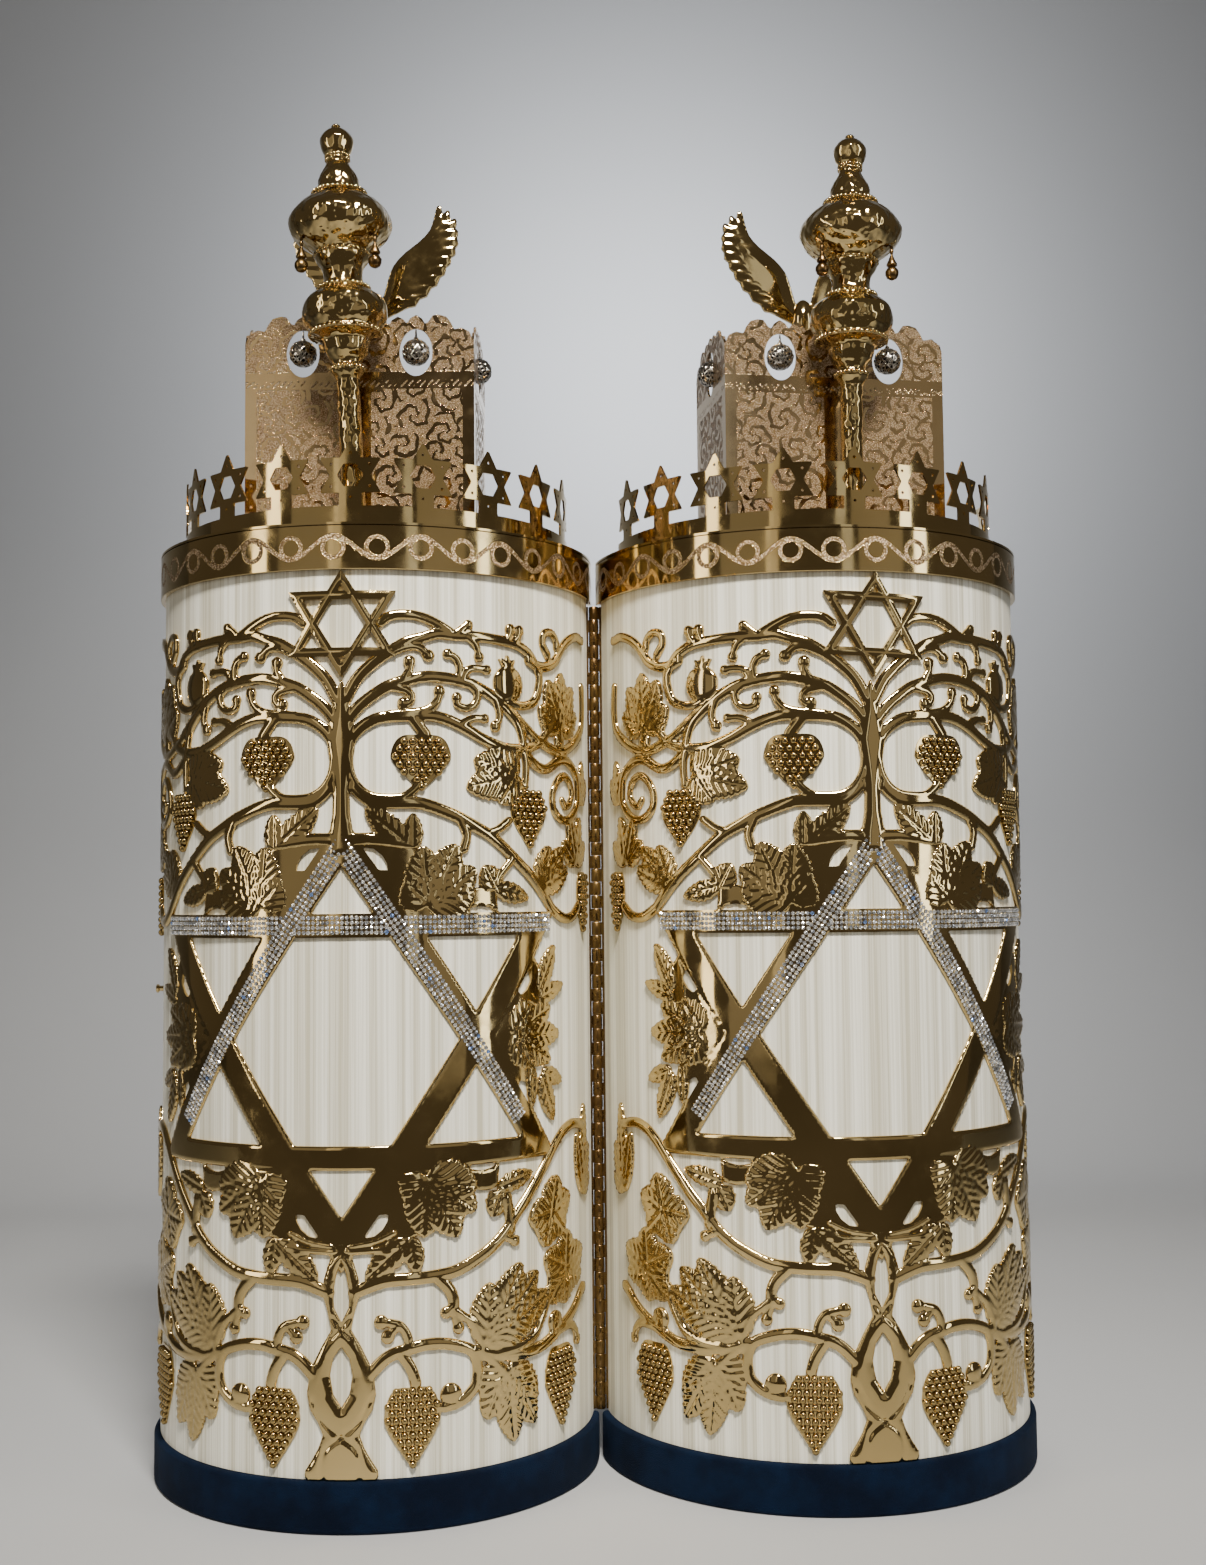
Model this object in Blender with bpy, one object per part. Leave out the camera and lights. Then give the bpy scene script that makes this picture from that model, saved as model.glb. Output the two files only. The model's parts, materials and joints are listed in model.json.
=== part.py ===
"""A round case for a scroll, standing open on its long hinge and seen from outside.

Two half drums stand side by side on velvet feet. Each carries a gilded openwork sheet with a great
six-pointed star, an engraved band, a gallery of small stars, a three-sided crown with hanging
balls, a turned finial with bells and a winged bird on a post. The halves turn about the hinge.

Everything is in metres with +Z up. Each half is modelled round its own drum centre: x runs along
the plane in which the halves meet, away from the hinge, and -y points out of the drum. The drum
centre stands one drum reach from the hinge axis, and each half is turned about that axis.
"""

import math

import bmesh
import bpy
import numpy as np
from mathutils import Vector
from mathutils.bvhtree import BVHTree
from mathutils.geometry import delaunay_2d_cdt

MM = 0.001
MERGE = 0.01 * MM

# Driving sizes of the drum
BASE_RADIUS = 149 * MM
DRUM_REACH = BASE_RADIUS + 1 * MM
LEAN_OPEN = math.radians(4.9)
FIT_GAP = 0.3 * MM
MEETING_GAP = 0.6 * MM
FACETS = 20
BASE_HEIGHT = 31 * MM
WALL_RADIUS = BASE_RADIUS - 4 * MM
WALL_THICKNESS = 7 * MM
BODY_TOP = 610 * MM
BAND_RADIUS = BASE_RADIUS - 0.5 * MM
BAND_HEIGHT = 28 * MM
PLATE_THICKNESS = 1.5 * MM

# Hinge and clasp
HINGE_KNUCKLES = 12
KNUCKLE_RADIUS = 3.6 * MM
PIN_RADIUS = 1.3 * MM
PIN_CLEARANCE = 0.3 * MM
LEAF_WIDTH = 12 * MM
LEAF_THICKNESS = 1.2 * MM
HINGE_END_GAP = 1.0 * MM
CLASP_HEIGHT = 319 * MM
CATCH_HEIGHT = 350 * MM
CLASP_PLATE = (11 * MM, 34 * MM, 1.2 * MM)
KNOB_LENGTH = 6.0 * MM
KNOB_SHAPE = ((0.0, 1.8 * MM), (0.6, 1.8 * MM), (0.7, 2.9 * MM), (0.95, 2.9 * MM), (1.0, 2.3 * MM))
CATCH_LENGTH = 3.0 * MM
CATCH_SHAPE = ((0.0, 1.2 * MM), (0.2, 1.2 * MM), (0.5, 2.3 * MM), (0.8, 2.3 * MM), (1.0, 1.2 * MM))

# Gallery of stars
GALLERY_RADIUS = BAND_RADIUS - 16.5 * MM
GALLERY_THICKNESS = 1.3 * MM
GALLERY_BASE = 13.5 * MM
GALLERY_STARS = 9
GALLERY_PITCH = math.radians(20)
GALLERY_STAR_REACH = 22.3 * MM
GALLERY_STAR_LIFT = 33 * MM
GALLERY_HOLE = 7.5 * MM

# Crown
CROWN_FRONT = 92 * MM
CROWN_HALF_WIDTH = 75 * MM
CROWN_BACK = 3 * MM
CROWN_SHEET = 1.5 * MM
CROWN_SHOULDER = 130 * MM
OVAL_LIFT = 123.5 * MM
OVAL_SIZE = (21.5 * MM, 31.5 * MM)
OVAL_BAY = 37 * MM
OVAL_CORNERS = 8
BALL_RADIUS = 9 * MM
WIRE_RADIUS = 0.7 * MM

# Finial, bells and bird
FINIAL_SETBACK = 11.5 * MM
FINIAL_OUT = GALLERY_RADIUS - FINIAL_SETBACK
FINIAL_SIDES = 10
FINIAL_FOOT = {"left": -1.5 * MM, "right": 1.5 * MM}
FINIAL_LEAN = {"left": math.radians(2.7), "right": math.radians(0.7)}
BELLS = 3
BELL_CIRCLE = 27 * MM
BELL_LIFT = 186 * MM
BELL_LENGTH = 22 * MM
BELL_RADIUS = 4.4 * MM
LUG_RADIUS = 3.2 * MM
BIRD_OUT = 17 * MM
BIRD_LIFT = 172 * MM
POST_RADIUS = 3 * MM
POST_FOOT = 11 * MM
WING_THICKNESS = 2.4 * MM

# Openwork sheet, drawn for the room between the floor and the band's lower edge
SHEET_ROOM = 582 * MM
SHEET_GAP = 1.5 * MM
SHEET_THICKNESS = 1.5 * MM
RELIEF = 2.9 * MM
CRYSTAL_GAP = 1.2 * MM
CRYSTAL_THICKNESS = 1.1 * MM
CRYSTAL_WIDTH = 12 * MM
STAR_CENTRE = 292 * MM
STAR_REACH = 106 * MM
STAR_SLOPE = 1.44
STAR_BAR_LEVEL = 63 * MM
STAR_BAR = 14.5 * MM
STAR_LEG = 33 * MM
STEP_ALONG = 30 * MM
LONGEST_STEP = 36 * MM
SHEET_SHIFT = 3.2 * MM
SMALL_STAR_CENTRE = 547 * MM
SMALL_STAR_REACH = 24 * MM
SMALL_STAR_LEVEL = 17 * MM
SMALL_STAR_BAR = 5 * MM
SMALL_STAR_LEG = 9 * MM
SMALL_STAR_SLOPE = 1.45

# Worked-out heights
WALL_FOOT = BASE_HEIGHT + FIT_GAP
WALL_INNER = WALL_RADIUS - WALL_THICKNESS
WALL_TOP = BODY_TOP - FIT_GAP
DECK = BODY_TOP + PLATE_THICKNESS + FIT_GAP
SHEET_INNER = WALL_RADIUS + SHEET_GAP
SHEET_STRETCH = (BODY_TOP - BAND_HEIGHT) / SHEET_ROOM
HINGE_FOOT = WALL_FOOT + HINGE_END_GAP
HINGE_TOP = BODY_TOP - BAND_HEIGHT - HINGE_END_GAP
WALL_EDGE = MEETING_GAP / 2 + LEAF_THICKNESS + FIT_GAP
BAND_INNER = WALL_RADIUS + FIT_GAP

# Vine stems of one side of the openwork: width, then route as arc and height in millimetres
VINES = {
    "top_arch": (5.0, ((2, 503), (36, 534), (70, 541), (118, 534), (136, 504))),
    "second_arch": (5.5, ((2, 492), (30, 512), (66, 517), (137, 478))),
    "third_arch": (5.5, ((3, 473), (24, 489), (56, 492), (137, 480))),
    "far_scroll": (5.0, ((134, 480), (168, 504), (162, 536), (134, 532))),
    "inner_loop": (4.5, ((4, 474), (10, 443), (58, 433))),
    "shoulder": (5.5, ((56, 434), (104, 409), (152, 366))),
    "first_grape_stem": (4.5, ((46, 492), (50, 474))),
    "second_grape_stem": (4.5, ((96, 415), (130, 440))),
    "lower_arch": (5.5, ((6, 143), (54, 151), (98, 177), (140, 216), (182, 228))),
    "low_branch": (5.5, ((14, 90), (34, 108), (80, 104), (76, 71))),
    "low_arm": (5.0, ((81, 102), (124, 96), (174, 128))),
    "low_leaf_stem": (4.5, ((102, 97), (106, 122))),
    "third_grape_stem": (4.5, ((42, 108), (44, 80))),
    "fourth_grape_stem": (4.5, ((152, 115), (158, 84))),
}
STRAND = ((-3, 176), (9, 142), (0, 119), (-16, 89), (0, 57), (18, 36))
STRAND_WIDTH = 8 * MM

# Leaves of one side: arc, height, length and width in millimetres, and the way the tip points
LEAVES = (
    (98, 464, 46, 36, -120),
    (60, 392, 48, 44, -110),
    (106, 387, 44, 28, -15),
    (34, 421, 36, 24, 150),
    (148, 392, 44, 28, 0),
    (130, 298, 56, 44, -75),
    (146, 334, 42, 28, 55),
    (140, 254, 44, 28, -65),
    (61, 190, 48, 44, -120),
    (104, 198, 42, 30, 10),
    (33, 160, 34, 24, 200),
    (106, 132, 54, 42, -100),
    (110, 72, 58, 44, -100),
    (147, 184, 46, 36, -60),
    (160, 144, 46, 36, -70),
)

# Plain plate between the leaves and the great star's upper point, mirrored under its lower point
LEAF_PLATE = ((0, 421), (30, 413), (54, 405), (84, 372), (36, 372), (30, 396), (13, 410))

# Leaves narrower than this have one notch on a side instead of two, millimetres
SMALL_LEAF = 32

# Bunches of grapes of one side: arc, height, width and height in millimetres
BUNCHES = (
    (49, 464, 38, 44),
    (130, 434, 34, 42),
    (43, 66, 36, 52),
    (159, 76, 36, 54),
)
BUNCH_CORNERS = 8
POMEGRANATE = (112, 514, 24, 28)

# Lobes along the crown's top, from the corner inwards: distance from the panel's middle and rise, millimetres
FRONT_CREST = ((65, 9), (57, 17), (49, 18), (43, 12), (36, 18), (27, 16), (20, 12), (0, 18))
SIDE_CREST = ((32, 9), (20, 15), (0, 18))

# Finial outline: height over the deck and radius in millimetres, from the foot to the tip
FINIAL_OUTLINE = (
    (0.5, 4.0), (5, 8.5), (8, 7.3), (98, 7.3), (103, 9.4), (109, 9.4), (124, 15), (131, 24), (141, 27.1),
    (149, 24), (156, 12.3), (171, 17.4), (182, 21), (190, 29.5), (198, 32.8), (207, 29.5), (221, 14.5),
    (231, 12.2), (243, 6), (254, 9.4), (262, 2.5), (265, 2.0),
)

# Outline of one wing: across from the bird's middle and height over the bird's back, millimetres
WING_OUTLINE = (
    (0, -8), (4, 8), (9, 26), (12, 36), (32, 55), (39, 66), (42, 76), (44, 66), (54, 63), (50, 50),
    (42, 34), (28, 14), (14, 1),
)


def tidy(mesh, merge=MERGE / 10):
    """Closes seams and turns every face of a closed mesh outwards."""
    work = bmesh.new()
    work.from_mesh(mesh)
    bmesh.ops.remove_doubles(work, verts=work.verts, dist=merge)
    bmesh.ops.recalc_face_normals(work, faces=work.faces)
    work.to_mesh(mesh)
    work.free()


def mesh_from(points, faces):
    """A mesh from points and faces, with its faces turned outwards."""
    mesh = bpy.data.meshes.new("shape")
    mesh.from_pydata([tuple(float(value) for value in point) for point in points], [], faces)
    tidy(mesh)
    return mesh


def material(name, colour, roughness, metallic):
    """A plain surface finish."""
    finish = bpy.data.materials.new(name)
    finish.use_nodes = True
    shader = finish.node_tree.nodes["Principled BSDF"]
    shader.inputs["Base Color"].default_value = (*colour, 1.0)
    shader.inputs["Roughness"].default_value = roughness
    shader.inputs["Metallic"].default_value = metallic
    return finish


def join(meshes):
    """One closed mesh from closed meshes that overlap."""
    collection = bpy.context.scene.collection
    holders = [bpy.data.objects.new("shape", mesh) for mesh in meshes]
    for holder in holders:
        collection.objects.link(holder)
    for other in holders[1:]:
        step = holders[0].modifiers.new("step", "BOOLEAN")
        step.operation = "UNION"
        step.solver = "EXACT"
        step.object = other
    view = bpy.context.evaluated_depsgraph_get()
    view.update()
    result = bpy.data.meshes.new_from_object(holders[0].evaluated_get(view))
    for holder in holders:
        bpy.data.objects.remove(holder)
    tidy(result, 2 * MERGE)
    return result


def rim(radius, edge):
    """Corners of the faceted half circle, cut off flat at a distance from the meeting plane."""
    angles = [math.radians(-90 + 180 * step / FACETS) for step in range(FACETS + 1)]
    corners = [np.array((radius * math.sin(angle), -radius * math.cos(angle))) for angle in angles]
    for end, neighbour in ((0, 1), (-1, -2)):
        share = edge / -corners[neighbour][1]
        corners[end] = corners[end] * (1 - share) + corners[neighbour] * share
    return corners


def prism(outline, low, high, axis="z"):
    """A closed solid between two levels over an outline, which lies in the other two axes."""
    count = len(outline)
    order = {"z": (0, 1, 2), "y": (0, 2, 1), "x": (2, 0, 1)}[axis]
    points = []
    for level in (low, high):
        for first, second in outline:
            values = (first, second, level)
            points.append([values[place] for place in order])
    faces = [list(range(count)), list(range(count, 2 * count))]
    faces += [(i, (i + 1) % count, count + (i + 1) % count, count + i) for i in range(count)]
    return mesh_from(points, faces)


def half_disc(radius, low, high):
    """A solid half-round plate."""
    return prism(rim(radius, MEETING_GAP), low, high)


def half_ring(inner, outer, low, high, edge):
    """A curved wall of half a turn."""
    sections = []
    for near, far in zip(rim(inner, edge), rim(outer, edge)):
        sections.append([(*near, low), (*far, low), (*far, high), (*near, high)])
    return skin(sections)


def skin(sections, closed=False):
    """A solid through a row of sections of equal length, with flat ends unless it closes on itself."""
    size = len(sections[0])
    points = [point for section in sections for point in section]
    faces = []
    spans = len(sections) if closed else len(sections) - 1
    for span in range(spans):
        after = (span + 1) % len(sections)
        for corner in range(size):
            beside = (corner + 1) % size
            near, far = span * size, after * size
            faces.append((near + corner, near + beside, far + beside, far + corner))
    if not closed:
        faces.append(list(range(size)))
        faces.append([(len(sections) - 1) * size + corner for corner in range(size)])
    return mesh_from(points, faces)


def turned(outline, sides, centre=(0, 0, 0), lean=0.0):
    """A solid turned about an upright axis, from (height, radius) pairs, and leaned towards +x."""
    sections = []
    for height, radius in outline:
        ring = []
        for side in range(sides):
            angle = 2 * math.pi * side / sides
            across, deep = radius * math.cos(angle), radius * math.sin(angle)
            ring.append((
                centre[0] + across * math.cos(lean) + height * math.sin(lean),
                centre[1] + deep,
                centre[2] + height * math.cos(lean) - across * math.sin(lean),
            ))
        sections.append(ring)
    return skin(sections)


def ball(centre, radii, sides, rows):
    """A rounded solid with flat little poles, from a half circle turned about an upright axis."""
    outline = []
    for row in range(rows + 1):
        angle = math.pi * (0.06 + 0.88 * row / rows)
        outline.append((-radii[2] * math.cos(angle), math.sin(angle)))
    mesh = turned(outline, sides)
    for vertex in mesh.vertices:
        vertex.co.x = centre[0] + vertex.co.x * radii[0]
        vertex.co.y = centre[1] + vertex.co.y * radii[1]
        vertex.co.z += centre[2]
    return mesh


def bend(mesh, inner, shift=0.0, stretch=1.0):
    """Rolls a flat sheet round the drum: x is arc at the inner radius, -y is depth out of it."""
    for vertex in mesh.vertices:
        angle = (vertex.co.x + shift) / inner
        radius = inner - vertex.co.y
        vertex.co.x = radius * math.sin(angle)
        vertex.co.y = -radius * math.cos(angle)
        vertex.co.z *= stretch
    return mesh


def ribbon(curve, width):
    """The outline of a flat strip along a curve of (arc, height) points."""
    tangent = np.gradient(curve, axis=0)
    tangent /= np.linalg.norm(tangent, axis=1)[:, None]
    side = np.column_stack((-tangent[:, 1], tangent[:, 0])) * width / 2
    return [*map(tuple, curve + side), *map(tuple, (curve - side)[::-1])]


def turns_left(outline):
    """Whether an outline runs anticlockwise, from the sign of its area."""
    pairs = zip(outline, outline[1:] + outline[:1])
    return sum(a[0] * b[1] - b[0] * a[1] for a, b in pairs) > 0


def sheet(outlines, thickness, holes=(), peaks=(), relief=0.0, longest=LONGEST_STEP):
    """A flat sheet over everything that the outlines cover and the holes don't.

    It lies at y = 0 and is one thickness deep, and at each peak it is one relief deep. The outlines
    may cross: a constrained triangulation splits them where they do. No edge spans more than the
    longest step along the arc, so the sheet can be rolled. With a longest step of 0 the outlines' own
    edges stay, so the sheet can be folded along them.
    """
    corners, loops = [], []
    for outline in (*outlines, *holes):
        loops.append(list(range(len(corners), len(corners) + len(outline))))
        corners += outline if turns_left(outline) else outline[::-1]
    flat = [Vector((float(arc), float(height))) for arc, height in corners]
    points, _, triangles, _, _, sources = delaunay_2d_cdt(flat, [], loops, 0, MERGE, True)
    kept = []
    for triangle, inside in zip(triangles, sources):
        if inside and all(loop < len(outlines) for loop in inside):
            kept.append(triangle)
    raised = set()
    if longest:
        points, kept, raised = cleared(points, kept, [Vector(peak) for peak in peaks], longest)
    depths = [relief if number in raised else thickness for number in range(len(points))]
    return thicken(points, split_fans(points, kept, depths), depths)


def cleared(points, triangles, peaks, longest):
    """The same area with nothing inside its border but the peaks and what keeps its edges short."""
    uses = {}
    for one, two, three in triangles:
        for edge in ((one, two), (two, three), (three, one)):
            uses[frozenset(edge)] = uses.get(frozenset(edge), 0) + 1
    border = [sorted(edge) for edge, count in uses.items() if count == 1]
    rim_points = sorted({corner for edge in border for corner in edge})
    place_of = {corner: number for number, corner in enumerate(rim_points)}
    edges = [(place_of[one], place_of[two]) for one, two in border]
    area = BVHTree.FromPolygons([(*point, 0.0) for point in points], triangles)
    first = len(rim_points)
    flat = [points[corner] for corner in rim_points] + peaks
    bends = [None]
    while bends:
        made, _, cells, origins, _, _ = delaunay_2d_cdt(flat, edges, [], 0, MERGE, True)
        inside = []
        for cell in cells:
            middle = sum((made[corner] for corner in cell), Vector((0, 0))) / 3
            if area.find_nearest((*middle, 0.0))[3] < MERGE:
                inside.append(cell)
        sides = {tuple(sorted(side)) for cell in inside for side in zip(cell, cell[1:] + cell[:1])}
        wide = [(made[a], made[b]) for a, b in sorted(sides) if abs(made[a].x - made[b].x) > longest]
        bends = [(start + end) / 2 for start, end in wide]
        flat += bends
    raised = {number for number, group in enumerate(origins)
              if any(first <= origin < first + len(peaks) for origin in group)}
    return made, inside, raised


def split_fans(points, triangles, depths):
    """Gives each fan of triangles its own corner where two fans meet in one point only."""
    around = {}
    for number, triangle in enumerate(triangles):
        for corner in triangle:
            around.setdefault(corner, set()).add(number)
    for corner, members in list(around.items()):
        fans = []
        waiting = set(members)
        while waiting:
            fan = {waiting.pop()}
            grown = True
            while grown:
                near = {other for other in waiting for one in fan
                        if len(set(triangles[other]) & set(triangles[one])) > 1}
                grown = bool(near)
                fan |= near
                waiting -= near
            fans.append(fan)
        for fan in fans[1:]:
            points.append(points[corner].copy())
            depths.append(depths[corner])
            for number in fan:
                own = [len(points) - 1 if place == corner else place for place in triangles[number]]
                triangles[number] = own
    return triangles


def thicken(points, triangles, depths):
    """A closed sheet from its triangles: a flat back at y = 0 and a front at each point's depth."""
    count = len(points)
    solid = [(point.x, 0.0, point.y) for point in points]
    solid += [(point.x, -depth, point.y) for point, depth in zip(points, depths)]
    edges = {}
    faces = []
    for one, two, three in triangles:
        faces += [(three, two, one), (one + count, two + count, three + count)]
        for edge in ((one, two), (two, three), (three, one)):
            edges[edge] = edges.get(edge, 0) + 1
    for start, end in edges:
        if (end, start) not in edges:
            faces.append((start, end, end + count, start + count))
    return drop_loose(mesh_from(solid, faces))


def drop_loose(mesh):
    """Removes points that no face uses."""
    work = bmesh.new()
    work.from_mesh(mesh)
    bmesh.ops.delete(work, geom=[vertex for vertex in work.verts if not vertex.link_faces], context="VERTS")
    work.to_mesh(mesh)
    work.free()
    return mesh


def leaf(arc, height, length, width, tip, mirror):
    """The outline of a lobed leaf, its tip turned towards an angle from the arc's direction."""
    small = ((0.3, 1.0), (0.65, 0.8))
    lobes = small if width < SMALL_LEAF else ((0.22, 0.95), (0.42, 0.6), (0.6, 1.0))
    half = [(share - 0.5, reach / 2) for share, reach in lobes]
    outline = [(-0.5, 0.0), *half, (0.5, 0.0), *[(along, -across) for along, across in reversed(half)]]
    turn = math.radians(tip)
    placed = []
    for along, across in outline:
        along, across = along * length, across * width
        placed.append((
            mirror * (arc + along * math.cos(turn) - across * math.sin(turn)) * MM,
            (height + along * math.sin(turn) + across * math.cos(turn)) * MM,
        ))
    return placed


def bunch(arc, height, width, tall, mirror):
    """The outline of a bunch of grapes: a drop with a knobbed rim."""
    placed = []
    for corner in range(BUNCH_CORNERS):
        angle = 2 * math.pi * corner / BUNCH_CORNERS + math.pi / 2
        low = max(0.0, -math.sin(angle))
        knob = 1.0 if corner % 2 == 0 else 0.84
        placed.append((
            (mirror * arc + width / 2 * knob * (1.0 - 0.35 * low) * math.cos(angle)) * MM,
            (height + tall / 2.3 * knob * (1.0 + 0.35 * low ** 3) * math.sin(angle)) * MM,
        ))
    return placed


def pomegranate(arc, height, wide, tall, mirror):
    """The outlines of a round fruit and of its little crown, which points up and in."""
    rise = tall - wide / 2
    fruit = ring_of_points((mirror * arc * MM, height * MM), (wide / 2 * MM,), 6, 0.0)
    crest = [(0, 2), (-9, rise + 4), (-2, rise + 1), (3, rise + 6), (6, 2)]
    return [fruit, [(mirror * (arc + across) * MM, (height + up) * MM) for across, up in crest]]


def triangle_frame(middle, way, reach, level, bar, leg, slope):
    """Outlines of the three bars of a star's frame that points up or down, in steps that can bend.

    The frame's inner apex stands one reach from the middle and its inner bar one level from it.
    """
    outer_half = (reach + leg + level + bar) / slope
    inner_half = (reach + level) / slope
    corners = [
        ((0, reach + leg), (0, reach)),
        ((outer_half, -level - bar), (inner_half, -level)),
        ((-outer_half, -level - bar), (-inner_half, -level)),
    ]
    outlines = []
    for start, end in zip(corners, corners[1:] + corners[:1]):
        steps = max(1, round(abs(end[0][0] - start[0][0]) / STEP_ALONG))
        far, near = [
            [(a[0] + (b[0] - a[0]) * step / steps, middle + way * (a[1] + (b[1] - a[1]) * step / steps))
             for step in range(steps + 1)]
            for a, b in zip(start, end)
        ]
        outlines.append(far + near[::-1])
    return outlines


def star(middle, *sizes):
    """Outlines of the two frames that make a six-pointed star."""
    return triangle_frame(middle, 1, *sizes) + triangle_frame(middle, -1, *sizes)


def openwork():
    """The gilded sheet: stars, trunk, vines, leaves and fruit, laid out flat and rolled on the wall."""
    half_trunk = [(9, 520), (9, 474), (5, 448), (8, 408)]
    trunk = half_trunk + [(-arc, height) for arc, height in reversed(half_trunk)]
    outlines = [[(arc * MM, height * MM) for arc, height in trunk]]
    outlines += star(STAR_CENTRE, STAR_REACH, STAR_BAR_LEVEL, STAR_BAR, STAR_LEG, STAR_SLOPE)
    small = (SMALL_STAR_REACH, SMALL_STAR_LEVEL, SMALL_STAR_BAR, SMALL_STAR_LEG, SMALL_STAR_SLOPE)
    outlines += star(SMALL_STAR_CENTRE, *small)
    peaks = []
    for mirror in (1, -1):
        strand = [(mirror * arc, height) for arc, height in STRAND]
        outlines.append(ribbon(np.array(strand) * MM, STRAND_WIDTH))
        for width, route in VINES.values():
            curve = np.array([(mirror * arc, height) for arc, height in route]) * MM
            outlines.append(ribbon(curve, width * MM))
        for way in (1, -1):
            plate = [(arc * MM, height * MM - STAR_CENTRE) for arc, height in LEAF_PLATE]
            outlines.append([(mirror * arc, STAR_CENTRE + way * over) for arc, over in plate])
        outlines += [leaf(*values, mirror) for values in LEAVES]
        outlines += [bunch(*values, mirror) for values in BUNCHES]
        outlines += pomegranate(*POMEGRANATE, mirror)
        for arc, height, *_ in (*LEAVES, *BUNCHES, POMEGRANATE):
            peaks.append((mirror * arc * MM, height * MM))
    flat = sheet(outlines, SHEET_THICKNESS, peaks=peaks, relief=RELIEF)
    return bend(flat, SHEET_INNER, SHEET_SHIFT, SHEET_STRETCH)


def crystal_bands():
    """Three bands of stones on the great star, rolled as the sheet is."""
    level = STAR_CENTRE + STAR_BAR_LEVEL + STAR_BAR / 2
    apex = STAR_CENTRE + STAR_REACH + STAR_LEG / 2
    half = (STAR_REACH + STAR_LEG / 2 + STAR_BAR_LEVEL) / STAR_SLOPE
    inner = SHEET_INNER + SHEET_THICKNESS + CRYSTAL_GAP
    steps = round(half / STEP_ALONG)
    bar = [(arc, level) for arc in np.linspace(-half, half, 2 * steps + 1)]
    legs = []
    for mirror in (1, -1):
        arcs = np.linspace(-CRYSTAL_WIDTH / 4, half, steps + 1)
        legs.append([(mirror * arc, apex - STAR_SLOPE * arc) for arc in arcs])
    outlines = []
    for line in (bar, *legs):
        rolled = np.array(line) * (inner / SHEET_INNER, 1)
        outlines.append(ribbon(rolled, CRYSTAL_WIDTH))
    return bend(sheet(outlines, CRYSTAL_THICKNESS), inner, SHEET_SHIFT, SHEET_STRETCH)


def ring_of_points(centre, radii, count, turn):
    """Corners round a centre; the radii are used in turn."""
    corners = []
    for corner in range(count):
        angle = turn + 2 * math.pi * corner / count
        radius = radii[corner % len(radii)]
        corners.append((centre[0] + radius * math.cos(angle), centre[1] + radius * math.sin(angle)))
    return corners


def star_ring():
    """The gallery: a base strip with upright pierced stars, rolled to a half circle."""
    inner = GALLERY_RADIUS - GALLERY_THICKNESS
    limit = inner * math.acos(MEETING_GAP / inner)
    arcs = np.linspace(-limit, limit, round(2 * limit / STEP_ALONG) + 1)
    outlines = [ribbon(np.column_stack((arcs, np.full(len(arcs), DECK + GALLERY_BASE / 2))), GALLERY_BASE)]
    holes = []
    middle = DECK + GALLERY_STAR_LIFT
    notch = GALLERY_STAR_REACH / math.sqrt(3)
    for number in range(GALLERY_STARS):
        arc = (number - (GALLERY_STARS - 1) / 2) * GALLERY_PITCH * inner
        outlines.append(ring_of_points((arc, middle), (GALLERY_STAR_REACH, notch), 12, math.pi / 2))
        holes.append(ring_of_points((arc, middle), (GALLERY_HOLE,), 6, 0.0))
    return bend(sheet(outlines, GALLERY_THICKNESS, holes), inner)


def crest(half_width, lobes):
    """Scalloped top outline of a panel from its right end to its left, as (along, height) points."""
    right = [(half_width, 0.0), *[(along * MM, rise * MM) for along, rise in lobes]]
    points = right + [(-along, rise) for along, rise in reversed(right) if along > 0]
    return [(along, DECK + CROWN_SHOULDER + rise) for along, rise in points]


def crown():
    """The three-sided crown of sheet metal, with scalloped tops and oval windows, folded at corners."""
    depth = (CROWN_FRONT - CROWN_BACK) / 2
    window_height = DECK + OVAL_LIFT
    outlines = [[(-CROWN_HALF_WIDTH, DECK), (CROWN_HALF_WIDTH, DECK), *crest(CROWN_HALF_WIDTH, FRONT_CREST)]]
    windows = [(-OVAL_BAY, window_height), (OVAL_BAY, window_height)]
    for side in (1, -1):
        middle = side * (CROWN_HALF_WIDTH + depth)
        panel = [(-depth, DECK), (depth, DECK), *crest(depth, SIDE_CREST)]
        outlines.append([(middle + along, height) for along, height in panel])
        windows.append((middle, window_height))
    holes = []
    for arc, height in windows:
        circle = ring_of_points((0, 0), (0.5,), OVAL_CORNERS, 0.0)
        holes.append([(arc + across * OVAL_SIZE[0], height + up * OVAL_SIZE[1]) for across, up in circle])
    mesh = sheet(outlines, CROWN_SHEET, holes, longest=0)
    for vertex in mesh.vertices:
        inset = CROWN_SHEET + vertex.co.y
        past = max(0.0, abs(vertex.co.x) - CROWN_HALF_WIDTH)
        corner = abs(vertex.co.x) >= CROWN_HALF_WIDTH - MERGE
        if corner:
            vertex.co.x = math.copysign(CROWN_HALF_WIDTH - inset, vertex.co.x)
        vertex.co.y = -CROWN_FRONT + max(past, inset) if corner else -CROWN_FRONT + inset
    return mesh


def ball_places():
    """Middles of the four balls: two in the front windows, two in the side windows."""
    height = DECK + OVAL_LIFT
    side = CROWN_HALF_WIDTH - CROWN_SHEET / 2
    front = -CROWN_FRONT + CROWN_SHEET / 2
    middle = -(CROWN_FRONT + CROWN_BACK) / 2
    places = ((-side, middle), (-OVAL_BAY, front), (OVAL_BAY, front), (side, middle))
    return [(across, deep, height) for across, deep in places]


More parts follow.
